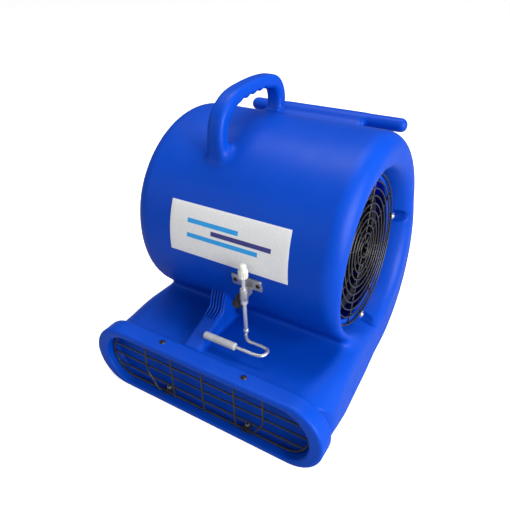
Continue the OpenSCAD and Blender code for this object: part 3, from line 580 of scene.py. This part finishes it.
def seg_dist(Y, Z, pts):
    best = None
    for i in range(len(pts) - 1):
        a, b = pts[i], pts[i + 1]
        d = b - a
        t = np.clip(((Y - a[0]) * d[0] + (Z - a[1]) * d[1]) / (d @ d), 0, 1)
        q = np.hypot(Y - a[0] - t * d[0], Z - a[1] - t * d[1])
        best = q if best is None else np.minimum(best, q)
    return best


def side2d(Y, Z):
    A = np.hypot(Y - DY, Z - DZ) - DR
    B = np.maximum(np.hypot(Y - SC_Y, Z - SC_R) - SC_R, -40 - Y)
    qy, qz = np.abs(Y + 87.5) - 127.5, np.abs(Z - 53.5) - 53.5
    Sn = np.hypot(np.maximum(qy, 0), np.maximum(qz, 0)) + np.minimum(np.maximum(qy, qz), 0)
    d = smin(A, Sn, 24)
    return smin(d, B, 5)


SC_Y, SC_R = 34.0, 202.0


def extrude(d2, w, r):
    a, b = d2 + r, w + r
    return np.hypot(np.maximum(a, 0), np.maximum(b, 0)) + np.minimum(np.maximum(a, b), 0) - r


def sstep(t):
    t = np.clip(t, 0, 1)
    return t * t * (3 - 2 * t)


def body(X, Y, Z):
    f = np.clip((50 - Y) / 262.0, 0, 1) ** 1.25 * sstep((158 - Z) / 72)
    hw = 202 + 16.5 * f
    r = 31 + 20 * sstep((-110 - Y) / 90) - 9 * sstep((40 - Y) / 70) * sstep((64 - Z) / 50)
    return extrude(side2d(Y, Z), np.abs(X) - hw, r)


def stadium(X, Z, hwid, z0, z1):
    r = (z1 - z0) / 2
    return np.hypot(np.maximum(np.abs(X) - (hwid - r), 0), Z - (z0 + r)) - r


def funnel(X, Y, Z, s):
    """Region removed from one side: flared mouth over the guard seat."""
    ax = s * X
    rho = np.hypot(Y - FY, Z - FZ)
    t = np.clip((ax - 165) / 40, 0, 1.2)
    R = 138.5 + 6 * t + 12 * t * t
    side = rho - R
    fl = None
    for k in range(4):
        cy = FY + 141.5 * (1, 0, -1, 0)[k]; cz = FZ + 141.5 * (0, 1, 0, -1)[k]
        q = np.hypot(Y - cy, Z - cz) - (12.0 if k != 2 else 7.5)
        fl = q if fl is None else np.minimum(fl, q)
    side = smin(side, fl, 3)
    return smax(side, 165 - ax, 4)


def housing_sdf(X, Y, Z):
    b = body(X, Y, Z)
    # outlet lip
    lip = extrude(stadium(X, Z, 226.5, -1.2, 117), np.abs(Y + 224.6) - 16.4, 4.0)
    o = smin(b, lip, 1.8)
    # handle
    dh = seg_dist(Y, Z, HC)
    bumps = np.minimum(np.minimum(np.hypot(Y + 2, Z - 479), np.hypot(Y - 20, Z - 481.5)), np.minimum(np.hypot(Y - 42, Z - 482.5), np.hypot(Y - 64, Z - 482)))
    th = HT / 2 + 0.5 * np.clip((440 - Z) / 40, 0, 1) * 2
    han = extrude(dh - th, np.abs(X - HX) - (HWID / 2 + 2.0 * np.clip((438 - Z) / 30, 0, 1)), 8.5)
    han = smax(han, 8.0 - bumps, 4.5)
    flare = 10 + 0 * X
    o = smin(o, np.maximum(han, 395 - Z), 15)
    # rear bar and web
    cap = np.clip(np.abs(X + 2) - 158, 0, None)
    bar = np.hypot(cap, np.hypot(Y - 226, Z - 401)) - 13.6
    bar = smax(bar, np.abs(X + 2) - 170.5, 3)
    t = np.clip(((Y - 110) * 116 + (Z - 345) * 54) / (116 ** 2 + 54 ** 2), 0, 1)
    wd = np.hypot(Y - 110 - 116 * t, Z - 345 - 54 * t) - 11.5
    web = smax(wd, np.abs(X + 2) - (88 + 0.0 * X), 8)
    o = smin(o, smin(bar, web, 9), 14)
    # grooved rib that grips the carpet
    ramp_top = np.maximum((Z - 111.5) * 0.94 - (Y + 206) * 0.345, 0 * X - 50)
    face = (-(Y + 131) * 0.94 - (Z - 142) * 0.0) 
    line1 = (Z - 140) * math.cos(0.36) - (Y + 130) * math.sin(0.36)          # sloping top
    rx = np.abs(X + 36) - (15 + 1.5 * np.clip((-Y - 130) / 60, 0, 1))
    wedge = smax(line1, rx, 5)
    wedge = np.maximum(wedge, -212 - Y)
    wedge = smax(wedge, Y + 96, 4)
    # steep head against the drum, grooved
    n1 = np.array([-0.934, 0.357])
    head_f = (Y + 129.5) * n1[0] + (Z - 141) * n1[1]
    groove = 0.9 * np.cos((X + 36) * 2 * math.pi / 5.6)
    head_f = head_f + np.where(np.abs(X + 36) < 14, groove, 0.9)
    head = smax(smax(head_f, np.abs(X + 36) - 15, 3), smax(Z - 172, Y + 90, 3), 4)
    o = smin(o, smin(wedge, head, 4), 6)
    # boss where the cord leaves
    cb = smax(np.hypot(X + 118, Z - CORD_Z) - 14, np.abs(Y - (CORD_Y - 22)) - 22, 3)
    o = smin(o, cb, 8)
    # side recesses and the switch pocket, outside skin first and then the same wall inside
    pk = np.maximum(np.maximum(np.abs(X + 118) - 40, np.abs(Z - 250) - 33), 204 - Y)
    b2 = b
    for s in (1, -1):
        fn = funnel(X, Y, Z, s)
        o = smax(o, -fn, 14)
        b2 = smax(b2, -fn, 14)
    o = smax(o, -pk, 2.5)
    b2 = smax(b2, -pk, 2.5)
    mouth = smax(stadium(X, Z, 202, 7.5, 103.5), Y + 214, 4)
    cav = smin(b2 + 7.6, mouth, 5)
    o = smax(o, -cav, 1.5)
    o = smax(o, -mouth, 5)
    for s in (1, -1):
        hole = np.maximum(np.hypot(Y - FY, Z - FZ) - 126, np.abs(s * X - 165) - 16)
        o = np.maximum(o, -hole)
    o = np.maximum(o, -(np.maximum(np.hypot(X + 118, Z - CORD_Z) - 8.1, 120 - Y)))
    return np.maximum(o, -Z)


CORD_Z, CORD_Y = 70.0, 196.0
hs = 4.0 if QUICK else 3.1
V, F = surface_nets(housing_sdf, (-230, -245, -4), (230, 245, 512), hs)
housing = fast_mesh("housing_shell", V, F, M["blue"])
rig.ride(housing, BODY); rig.replaces(housing, "housing"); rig.slot(housing, "blue_poly")
print("HOUSING", len(V), len(F))

g = Mesh()
for k in range(5):      # ridges down the gripping face of the rib
    x = -47.6 + 5.8 * k
    g.tube(catmull([(x, -119.5, 173.5), (x, -124.0, 163), (x, -128.2, 151), (x, -131.6, 143.5), (x, -139, 139.2), (x, -152, 134.2)], 5), [1.2] * 3 + [1.75] * 16 + [1.5, 1.3, 1.1, 0.9, 0.7, 0.5, 0.3], 10)
g.done("housing_rib_ridges", M["blue"], reps=["housing"], slot="blue_poly")

# ------------------------------------------------------------------ label
def label_panel():
    """Foil panel wrapped on the drum; three plain stripes are set into its face."""
    xs = sorted(set([-114.6, -113, 113, 114.6] + list(np.linspace(-105, 105, 29)) + [-78, -30, 22, 60, 84]))
    an = sorted(set([-3.5, 24.8] + list(np.linspace(-3, 24.3, 19)) + [6.5, 9.0, 10.5, 13.0, 14.5, 17.0]))
    nx, na = len(xs), len(an)
    v, f, mi = [], [], []
    for layer, rad in ((0, DR + 0.72), (1, DR - 0.4)):
        for i, x in enumerate(xs):
            for j, a in enumerate(an):
                rr = rad - (0.22 if layer == 0 and (i in (0, nx - 1) or j in (0, na - 1)) else 0)
                t = math.radians(a)
                v.append((x, DY - rr * math.cos(t), DZ + rr * math.sin(t)))
    def vid(l, i, j):
        return l * nx * na + i * na + j
    bands = [((-78, 22), (14.5, 17.0), 1), ((-30, 84), (10.5, 13.0), 2), ((-78, 60), (6.5, 9.0), 1)]
    for i in range(nx - 1):
        for j in range(na - 1):
            f.append((vid(0, i, j), vid(0, i + 1, j), vid(0, i + 1, j + 1), vid(0, i, j + 1)))
            cx, ca = (xs[i] + xs[i + 1]) / 2, (an[j] + an[j + 1]) / 2
            k = 0
            for (x0, x1), (a0, a1), idx in bands:
                sl = 0.0
                if x0 <= cx <= x1 and a0 <= ca <= a1:
                    k = idx
            mi.append(k)
            f.append((vid(1, i, j), vid(1, i, j + 1), vid(1, i + 1, j + 1), vid(1, i + 1, j))); mi.append(0)
    for i in range(nx - 1):
        f.append((vid(0, i, 0), vid(1, i, 0), vid(1, i + 1, 0), vid(0, i + 1, 0))); mi.append(0)
        f.append((vid(0, i, na - 1), vid(0, i + 1, na - 1), vid(1, i + 1, na - 1), vid(1, i, na - 1))); mi.append(0)
    for j in range(na - 1):
        f.append((vid(0, 0, j), vid(0, 0, j + 1), vid(1, 0, j + 1), vid(1, 0, j))); mi.append(0)
        f.append((vid(0, nx - 1, j), vid(1, nx - 1, j), vid(1, nx - 1, j + 1), vid(0, nx - 1, j + 1))); mi.append(0)
    o = make("label_panel", v, f, M["label"])
    o.data.materials.append(M["ink_light"]); o.data.materials.append(M["ink_dark"])
    o.data.polygons.foreach_set("material_index", mi)
    fix_normals(o)
    sharp_by_angle(o, 40)
    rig.ride(o, BODY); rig.replaces(o, "info_label"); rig.slot(o, "label")


label_panel()

# ------------------------------------------------------------------ outlet guard
GY, ZC, GO, GXC = -227.0, 55.5, 44.3, 154.0


def gx(z):
    return GXC + math.sqrt(GO * GO - (z - ZC) ** 2)


def wavy(a, b, n, seed, amp=0.35):
    """Straight wire with the slight unevenness of a bent part."""
    a, b = np.array(a, float), np.array(b, float)
    t = np.linspace(0, 1, n)[:, None]
    p = a + (b - a) * t
    w = np.sin(t * math.pi) * (np.sin(t * 7 + seed) * 0.6 + np.sin(t * 13 + 2.1 * seed) * 0.4) * amp
    p[:, 1:2] += w * 0.4
    p[:, 2:3] += w * (abs(b[0] - a[0]) > 50)
    p[:, 0:1] += w * (abs(b[0] - a[0]) <= 50)
    return p


g = Mesh()
loop = [(GXC + GO * math.cos(a), GY, ZC + GO * math.sin(a)) for a in np.radians(np.linspace(-90, 90, 33))]
loop += [(x, GY, ZC + GO) for x in np.linspace(GXC, -GXC, 40)[1:-1]]
loop += [(-GXC + GO * math.cos(a), GY, ZC + GO * math.sin(a)) for a in np.radians(np.linspace(90, 270, 33))]
loop += [(x, GY, ZC - GO) for x in np.linspace(-GXC, GXC, 40)[1:-1]]
g.tube(loop, 1.9, 12, closed=True)
for i, z in enumerate((74, 53, 31)):
    g.tube(wavy((-gx(z), GY, z), (gx(z), GY, z), 60, i + 1), 1.65, 10)
for i, x in enumerate((-62, 2, 65)):
    g.tube(wavy((x, GY - 2.8, 10.4), (x, GY - 2.8, 100.4), 24, i + 5), 1.7, 10)
for s in (-1, 1):
    g.tube(rounded_path([(s * 119, GY - 2.8, 100.4), (s * 119, GY - 2.8, 44), (s * 97, GY - 2.8, 10.4)], 22, 12), 1.7, 10)
for x in (-119, -62, 2, 65, 119):       # weld nuggets
    for z in (74, 53, 31, ZC + GO, ZC - GO):
        if abs(x) == 119 and z < 35:
            if z > 20:
                xx = math.copysign(119 - (44 - z) * 22 / 33.6, x)
            else:
                xx = math.copysign(97.3, x)
        else:
            xx = x
        g.lathe([(0, -1.7), (1.5, -1.4), (2.35, 0), (1.5, 1.4), (0, 1.7)], (xx, GY - 1.6, z), (0, 1, 0), 10)
g.done("outlet_guard_wires", M["wire"], reps=["outlet_guard"], slot="black_wire")

# ------------------------------------------------------------------ inlet guards
PITCH = 13.25
for s, side in ((1, "right"), (-1, "left")):
    g = Mesh()
    for i in range(10):
        r = 134.5 - i * PITCH
        th = np.linspace(0, 2 * math.pi, max(24, int(96 * r / 134) + 8), endpoint=False)
        dx = 0.25 * np.sin(3 * th + i) + 0.2 * np.sin(5 * th + 2 * i)
        dr = 0.35 * np.sin(2 * th + i * 1.7)
        g.tube(np.stack([s * (169.6 + dx), FY + (r + dr) * np.cos(th), FZ + (r + dr) * np.sin(th)], 1), 1.55 if i else 1.75, 10, closed=True)
    for k in range(8):
        a = math.radians(22.5 + 45 * k)
        p = [(s * 166.9, FY + r * math.cos(a), FZ + r * math.sin(a)) for r in np.linspace(12.5, 134.8, 14)]
        g.tube(p, 1.65, 10)
        for i in range(10):
            r = 134.5 - i * PITCH
            g.lathe([(0, -1.5), (1.3, -1.3), (2.1, 0), (1.3, 1.3), (0, 1.5)], (s * 168.2, FY + r * math.cos(a), FZ + r * math.sin(a)), (1, 0, 0), 8)
    g.done("inlet_guard_wires_" + side, M["wire"], reps=["inlet_guard_" + side], slot="black_wire")

# ------------------------------------------------------------------ wheel
BL_IN, W_R, NB, WL = 101.0, 120.0, 36, 145.0
g = Mesh()
nt_ = 9
for i in range(NB):
    off = 2 * math.pi * i / NB
    sec = []
    for side_ in (1, -1):
        ts = np.linspace(0, 1, nt_) if side_ > 0 else np.linspace(1, 0, nt_)
        for t in ts:
            r = BL_IN + (W_R - 1.3 - BL_IN) * t
            a = math.radians(9.5 * t * t + 1.2 * t); b = a + math.radians(32 * t)
            h = 0.75 * side_ * (0.55 if t in (0.0, 1.0) else 1)
            x, y = r * math.cos(a) - h * math.sin(b), r * math.sin(a) + h * math.cos(b)
            sec.append((x, y))
    c, s_ = math.cos(off), math.sin(off)
    sec = [(x * c - y * s_, x * s_ + y * c) for x, y in sec]
    n = len(sec)
    xs = (-WL + 1.2, -WL + 5, -70, -2, 2, 70, WL - 5, WL - 1.2)
    v = [(xx, FY + q[1], FZ - q[0]) for xx in xs for q in sec]
    f = []
    for k in range(len(xs) - 1):
        for j in range(n):
            l = (j + 1) % n
            f.append((k * n + j, k * n + l, (k + 1) * n + l, (k + 1) * n + j))
    for k in (0, len(xs) - 1):
        for j in range(nt_ - 1):
            f.append((k * n + j, k * n + j + 1, k * n + n - 2 - j, k * n + n - 1 - j))
    g.add(v, f)
for x0, x1 in ((-WL, -WL + 4), (WL - 4, WL)):
    g.lathe([(BL_IN - 1, x0 + 0.8), (BL_IN - 0.2, x0), (W_R - 0.8, x0), (W_R, x0 + 0.8), (W_R, x1 - 0.8), (W_R - 0.8, x1), (BL_IN - 0.2, x1), (BL_IN - 1, x1 - 0.8)], (0, FY, FZ), (1, 0, 0), 128)
g.lathe([(16.1, -1.4), (40, -1.4), (44, -1.2), (88, -1.2), (92, -1.5), (W_R - 0.6, -1.5), (W_R - 0.1, 0), (W_R - 0.6, 1.5), (92, 1.5), (88, 1.2), (44, 1.2), (40, 1.4), (16.1, 1.4)], (0, FY, FZ), (1, 0, 0), 128)
g.done("blower_wheel", M["wheel"], body="rotor", reps=["impeller_wheel"], slot="black_nylon", angle=35)

# ------------------------------------------------------------------ carpet clamp
RX, RY = 43.0, -155.0
g = Mesh()
down = [(RX, RY, 257.5), (RX, RY, 240), (RX, RY, 222), (RX, RY, 204), (RX, RY, 184), (RX, RY + 0.3, 166), (RX - 0.4, RY + 1.2, 152), (RX - 0.9, RY + 1.8, 144)]
g.tube(catmull(down, 4), 3.4, 16)
bead = [(RX - 0.9, RY + 1.8, 146), (RX - 1.2, RY + 2.4, 141), (RX - 1.8, RY + 3.2, 136.5)]
g.tube(catmull(bead, 5), [3.4, 3.9, 4.3, 4.6, 4.7, 4.7, 4.6, 4.4, 4.0, 3.5, 3.0], 16)
crank = rounded_path([(RX - 1.6, RY + 3.0, 139), (RX - 4.0, RY + 3.6, 130.4), (50, RY - 7.5, 130), (76, RY - 7.0, 130), (93.5, RY - 9, 130), (91, RY - 27, 130), (74, RY - 29.5, 130), (-18, RY - 29, 130)], [6, 14, 14, 14, 12, 12], 9)
g.tube(crank, 2.85, 14)
g.done("clamp_crank", M["zinc"], body="clamp_lever", reps=["clamp_rod"], slot="zinc")

g = Mesh()
pr = [(2.9, 0.6), (4.4, 0.0), (5.5, 0.5), (6.1, 1.5), (6.2, 3.0)] + [(6.2, z) for z in (12, 22, 34, 46, 57)] + [(6.2, 59.4), (6.0, 60.6), (5.4, 61.4), (4.6, 61.8), (2.9, 61.4)]
g.lathe(pr, (-20.5, RY - 29, 130), (1, 0, 0), 36)
g.done("clamp_grip_sleeve", M["grip"], body="clamp_lever", reps=["clamp_grip"], slot="grip_grey", angle=40)


def fluted(g, prof, origin, axis, n, depth, seg_per=8, sharp=1.0):
    """Lathe whose radius is notched n times round; prof rows are (radius, along, flute amount 0..1)."""
    origin = np.array(origin, float); ax = np.array(axis, float); ax /= np.linalg.norm(ax)
    ref = np.array([0, 0, 1.0]) if abs(ax[2]) < 0.9 else np.array([1.0, 0, 0])
    u = np.cross(ref, ax); u /= np.linalg.norm(u); w = np.cross(ax, u)
    seg = n * seg_per
    th = np.linspace(0, 2 * math.pi, seg, endpoint=False)
    notch = np.clip(np.cos(n * th) * 1.6 - 0.6, 0, 1) * depth
    v, idx = [], []
    for r, z, k in prof:
        if r < 1e-6:
            idx.append([len(v)] * seg); v.append(origin + ax * z)
        else:
            rr = r - notch * k
            b = len(v)
            v += list(origin + ax * z + rr[:, None] * (np.cos(th)[:, None] * u + np.sin(th)[:, None] * w))
            idx.append(list(range(b, b + seg)))
    f = []
    for i in range(len(prof) - 1):
        A, B = idx[i], idx[i + 1]
        for k in range(seg):
            l = (k + 1) % seg
            q = []
            for e in (A[k], A[l], B[l], B[k]):
                if not q or q[-1] != e:
                    q.append(e)
            if q[0] == q[-1]:
                q.pop()
            if len(q) > 2:
                f.append(tuple(q))
    g.add(v, f)


g = Mesh()
fluted(g, [(0, 11.2, 0), (3.5, 11.2, 0), (3.5, 0.4, 0), (4.2, 0, 0), (7.2, 0, 0), (7.8, 0.5, 0.2), (8.2, 1.8, 1), (8.2, 4, 1), (8.1, 11, 1), (7.9, 12.6, 1), (7.3, 13.6, 0.6), (6.3, 14.2, 0.2), (6.0, 15.6, 0), (5.9, 20.5, 0), (5.4, 22.4, 0), (4.2, 23.6, 0), (2.2, 24.1, 0), (0, 24.1, 0)], (RX, RY, 248), (0, 0, 1), 12, 1.0)
g.done("clamp_end_cap", M["cap"], body="clamp_lever", reps=["clamp_cap"], slot="white_nylon", angle=45)

BA = math.radians(10.4)


def on_front(x, y, z):
    """Point in the frame of the drum front at the bracket: y outwards is negative."""
    return (38 + x, DY + (y - DR) * math.cos(BA) - z * math.sin(BA), DZ + (y - DR) * math.sin(BA) + z * math.cos(BA))


g = Mesh()
out2 = []
for cx, cz, a0 in ((26, 9, 0), (-26, 9, 90), (-26, -9, 180), (26, -9, 270)):
    for a in np.radians(np.linspace(a0, a0 + 90, 6)):
        out2.append((cx + 2.4 * math.cos(a), cz + 2.4 * math.sin(a)))
n = len(out2)
v, f = [], []
for yy, ins in ((0.35, 0.0), (-2.15, 0.0), (-2.45, 0.12), (-2.6, 0.5)):
    v += [on_front(x * (1 - ins / 28), yy, z * (1 - ins / 11)) for x, z in out2]
for k in range(3):
    for i in range(n):
        l = (i + 1) % n
        f.append((k * n + i, k * n + l, (k + 1) * n + l, (k + 1) * n + i))
f.append(tuple(range(n))); f.append(tuple(range(3 * n, 4 * n)))
g.add(v, f)
# folded ear that carries the barrel
ear = []
for z0, z1, y0, y1, hw_ in ((208.5, 221.0, RY + 2, RY + 17.6, 4.6),):
    pts = [(y1, z0), (y1, z1), (y0, z1), (y0, z0)]
    v = [(RX + sx * hw_ * (1 - c_), yy + c_ * 0, zz) for sx in (-1, 1) for c_ in (0,) for yy, zz in pts]
    f = [(0, 1, 2, 3), (7, 6, 5, 4), (0, 4, 5, 1), (1, 5, 6, 2), (2, 6, 7, 3), (3, 7, 4, 0)]
    g.add(v, f)
g.lathe([(3.7, 206.4), (6.2, 206.2), (6.8, 206.8), (7.0, 208), (7.0, 221), (6.8, 222.3), (6.2, 222.9), (3.7, 222.7)], (RX, RY, 0), (0, 0, 1), 36)
br = g.done("clamp_bracket_pressing", M["galv"], reps=["clamp_bracket"], slot="galvanised", angle=35)
bv = br.modifiers.new("edge", "BEVEL"); bv.width = 0.4 * S; bv.segments = 2; bv.limit_method = "ANGLE"; bv.angle_limit = math.radians(60); bv.harden_normals = True

g = Mesh()
ta = math.radians(158)
fo = (RX + 15.5 * math.cos(ta), RY + 15.5 * math.sin(ta), 202.6)
fax = (0.342 * math.cos(ta), 0.342 * math.sin(ta), -0.940)
g.lathe([(0, -5.2), (3.0, -5.1), (4.0, -4.6), (4.5, -3.6), (4.7, -2.2), (5.0, 0), (5.3, 1.2), (5.0, 2.2), (5.4, 3.6), (6.1, 7), (6.9, 11), (7.6, 14.4), (8.4, 16.4), (8.7, 17.6), (8.7, 19.4), (8.3, 20.6), (7.4, 21.6), (6.4, 21.9), (5.8, 21.0), (5.0, 20.2), (0, 19.8)], fo, fax, 40)
g.done("clamp_foot_bell", M["rubber"], body="clamp_lever", reps=["clamp_foot"], slot="rubber", angle=50)

# ------------------------------------------------------------------ speed knob
g = Mesh()
fluted(g, [(0, 11.8, 0), (3.05, 11.8, 0), (3.05, 2.6, 0), (8, 2.6, 0), (8, 0.2, 0), (16.2, 0, 0), (16.9, 0.5, 0), (17, 2.8, 0), (16.7, 3.7, 0), (15.8, 4.1, 0), (15.2, 4.6, 0.4), (15.0, 5.4, 1), (14.4, 9, 1), (13.8, 12.2, 1), (13.3, 13.2, 0.6), (12.4, 13.7, 0), (0, 13.7, 0)], (-118, 212.4, 250), (0, 1, 0), 20, 0.9, 6)
# pointer ridge across the top of the dial
px, py_, pz = -118.0, 226.0, 250.0
v = []
for (dz, wdt) in ((-12, 1.6), (-8, 2.6), (0, 3.1), (8, 2.8), (13.2, 1.5)):
    for (yy, k) in ((-1.2, 1.0), (0.5, 0.9), (1.0, 0.55)):
        v.append((px - wdt * k, py_ + yy, pz + dz)); v.append((px + wdt * k, py_ + yy, pz + dz))
f = []
R_ = 6
for i in range(4):
    a, b = i * R_, (i + 1) * R_
    ring = [0, 2, 4, 5, 3, 1]
    for k in range(6):
        l = (k + 1) % 6
        f.append((a + ring[k], a + ring[l], b + ring[l], b + ring[k]))
f.append((0, 1, 3, 5, 4, 2)); e = 4 * R_; f.append((e + 0, e + 2, e + 4, e + 5, e + 3, e + 1))
g.add(v, f)
g.done("speed_dial", M["nylon"], body="speed_selector", reps=["speed_knob"], slot="black_nylon", angle=40)

# ------------------------------------------------------------------ the other CAD nodes keep their meshes and get finishes
slot_of = {s["node"]: s["material_slot"] for s in frame["record"]["subparts"]}
by_slot = {"blue_poly": "blue", "label": "label", "black_wire": "wire", "black_nylon": "nylon", "dark_screw": "dark_screw", "zinc": "zinc", "galvanised": "galv", "brass": "brass", "rubber": "rubber",
           "motor_paint": "motor", "cast_alloy": "alloy", "lamination": "lam", "copper": "copper", "bearing_steel": "steel", "brushed_plate": "plate", "cord_rubber": "cord", "strap": "strap", "grip_grey": "grip", "white_nylon": "cap"}
taken = {"housing", "clamp_bracket", "info_label", "outlet_guard", "inlet_guard_right", "inlet_guard_left", "impeller_wheel", "clamp_rod", "clamp_grip", "clamp_cap", "clamp_foot", "speed_knob"}
BEVEL = {"switch_plate": 0.4, "motor_bracket": 0.5, "motor_shell": 0.4, "motor_rear_bell": 0.5, "motor_drive_bell": 0.5, "impeller_hub": 0.5, "plug_body": 0.6, "cord_strap": 0.3, "outlet_guard_clips": 0.6, "strain_relief": 0.4}
for n, o in frame["nodes"].items():
    o.data.materials.clear()
    o.data.materials.append(M[by_slot[slot_of[n]]])
    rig.slot(o, slot_of[n])
    if n in taken:
        continue
    sharp_by_angle(o, 32)
    if n in BEVEL:
        b = o.modifiers.new("edge", "BEVEL"); b.width = BEVEL[n] * S; b.segments = 2; b.limit_method = "ANGLE"; b.angle_limit = math.radians(40)
        b.harden_normals = True

# ------------------------------------------------------------------ stage, light, camera
bpy.ops.mesh.primitive_plane_add(size=40, location=(0, 0, -0.0005))
floor = bpy.context.object; floor.name = "floor"
fm, nt, bs = new_mat("floor_pale")
bs.inputs["Base Color"].default_value = (0.93, 0.93, 0.93, 1); bs.inputs["Roughness"].default_value = 0.7
bs.inputs["Specular IOR Level"].default_value = 0.1
bs.inputs["Emission Color"].default_value = (1, 1, 1, 1); bs.inputs["Emission Strength"].default_value = 0.55
dim = nt.nodes.new("ShaderNodeBsdfDiffuse"); dim.inputs["Color"].default_value = (0.42, 0.42, 0.43, 1)
flp = nt.nodes.new("ShaderNodeLightPath"); fmx = nt.nodes.new("ShaderNodeMixShader")
nt.links.new(flp.outputs["Is Camera Ray"], fmx.inputs[0]); nt.links.new(dim.outputs[0], fmx.inputs[1]); nt.links.new(bs.outputs[0], fmx.inputs[2])
nt.links.new(fmx.outputs[0], nt.nodes["Material Output"].inputs["Surface"])
floor.data.materials.append(fm)
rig.stage(floor)

WORLD_DIFFUSE, WORLD_GLOSSY = 0.48, 0.1
w = bpy.data.worlds.new("studio"); bpy.context.scene.world = w
w.use_nodes = True
wn = w.node_tree
wn.nodes["Background"].inputs[0].default_value = (1, 1, 1, 1)
lp = wn.nodes.new("ShaderNodeLightPath")
m1 = wn.nodes.new("ShaderNodeMix"); m1.data_type = "FLOAT"; m1.inputs[2].default_value = WORLD_DIFFUSE; m1.inputs[3].default_value = WORLD_GLOSSY
wn.links.new(lp.outputs["Is Glossy Ray"], m1.inputs[0])
m2 = wn.nodes.new("ShaderNodeMix"); m2.data_type = "FLOAT"; m2.inputs[3].default_value = 1.0
wn.links.new(lp.outputs["Is Camera Ray"], m2.inputs[0]); wn.links.new(m1.outputs[0], m2.inputs[2])
wn.links.new(m2.outputs[0], wn.nodes["Background"].inputs[1])


def area(name, loc, target, size, power, spec=1.0, col=(1, 1, 1)):
    l = bpy.data.lights.new(name, "AREA"); l.shape = "RECTANGLE"; l.size, l.size_y = size; l.energy = power; l.color = col; l.specular_factor = spec
    o = bpy.data.objects.new(name, l); bpy.context.scene.collection.objects.link(o)
    o.location = loc
    o.rotation_euler = (Vector(target) - Vector(loc)).to_track_quat("-Z", "Y").to_euler()
    return o


area("key", (2.45, -0.45, 0.85), (0, 0, 0.22), (1.9, 1.4), 96, 0.55)
area("top", (-0.1, 0.45, 2.3), (0, 0, 0.35), (2.0, 0.8), 36, 1.8)
area("front", (-1.3, -2.2, 1.2), (0, 0, 0.25), (1.4, 1.0), 7)

cam = bpy.data.cameras.new("cam"); co = bpy.data.objects.new("cam", cam)
bpy.context.scene.collection.objects.link(co); bpy.context.scene.camera = co
yaw, pitch, roll = math.radians(31.26), math.radians(24.86), math.radians(-1.33)
back = Vector((math.sin(yaw) * math.cos(pitch), -math.cos(yaw) * math.cos(pitch), math.sin(pitch)))
fwd = -back
right = Vector((math.cos(yaw), math.sin(yaw), 0)); up = right.cross(fwd)
r = math.cos(roll) * right + math.sin(roll) * up; u = -math.sin(roll) * right + math.cos(roll) * up
co.matrix_world = Matrix(((r.x, u.x, back.x, 0.462947), (r.y, u.y, back.y, -0.751007), (r.z, u.z, back.z, 0.745913), (0, 0, 0, 1)))
cam.sensor_width = 36; cam.lens = 553.749 / 510 * 36
cam.shift_x = (255 - 272.663) / 510; cam.shift_y = (183.739 - 255) / 510
cam.clip_start = 0.02


def centre_other_views(scene, *rest):
    """The lens shift belongs to the photograph's view; a camera moved round the object looks straight at it."""
    if scene.camera and scene.camera.rotation_mode == "QUATERNION":
        scene.camera.data.shift_x = scene.camera.data.shift_y = 0.0


bpy.app.handlers.render_pre.append(centre_other_views)
bpy.context.scene.view_settings.view_transform = "Standard"

size_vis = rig.bounds()
with open("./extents.json", "w") as fh:
    json.dump({"cad_box": [[float(c) for c in v] for v in size_cad], "visual_box": [[float(c) for c in v] for v in size_vis]}, fh, indent=1)
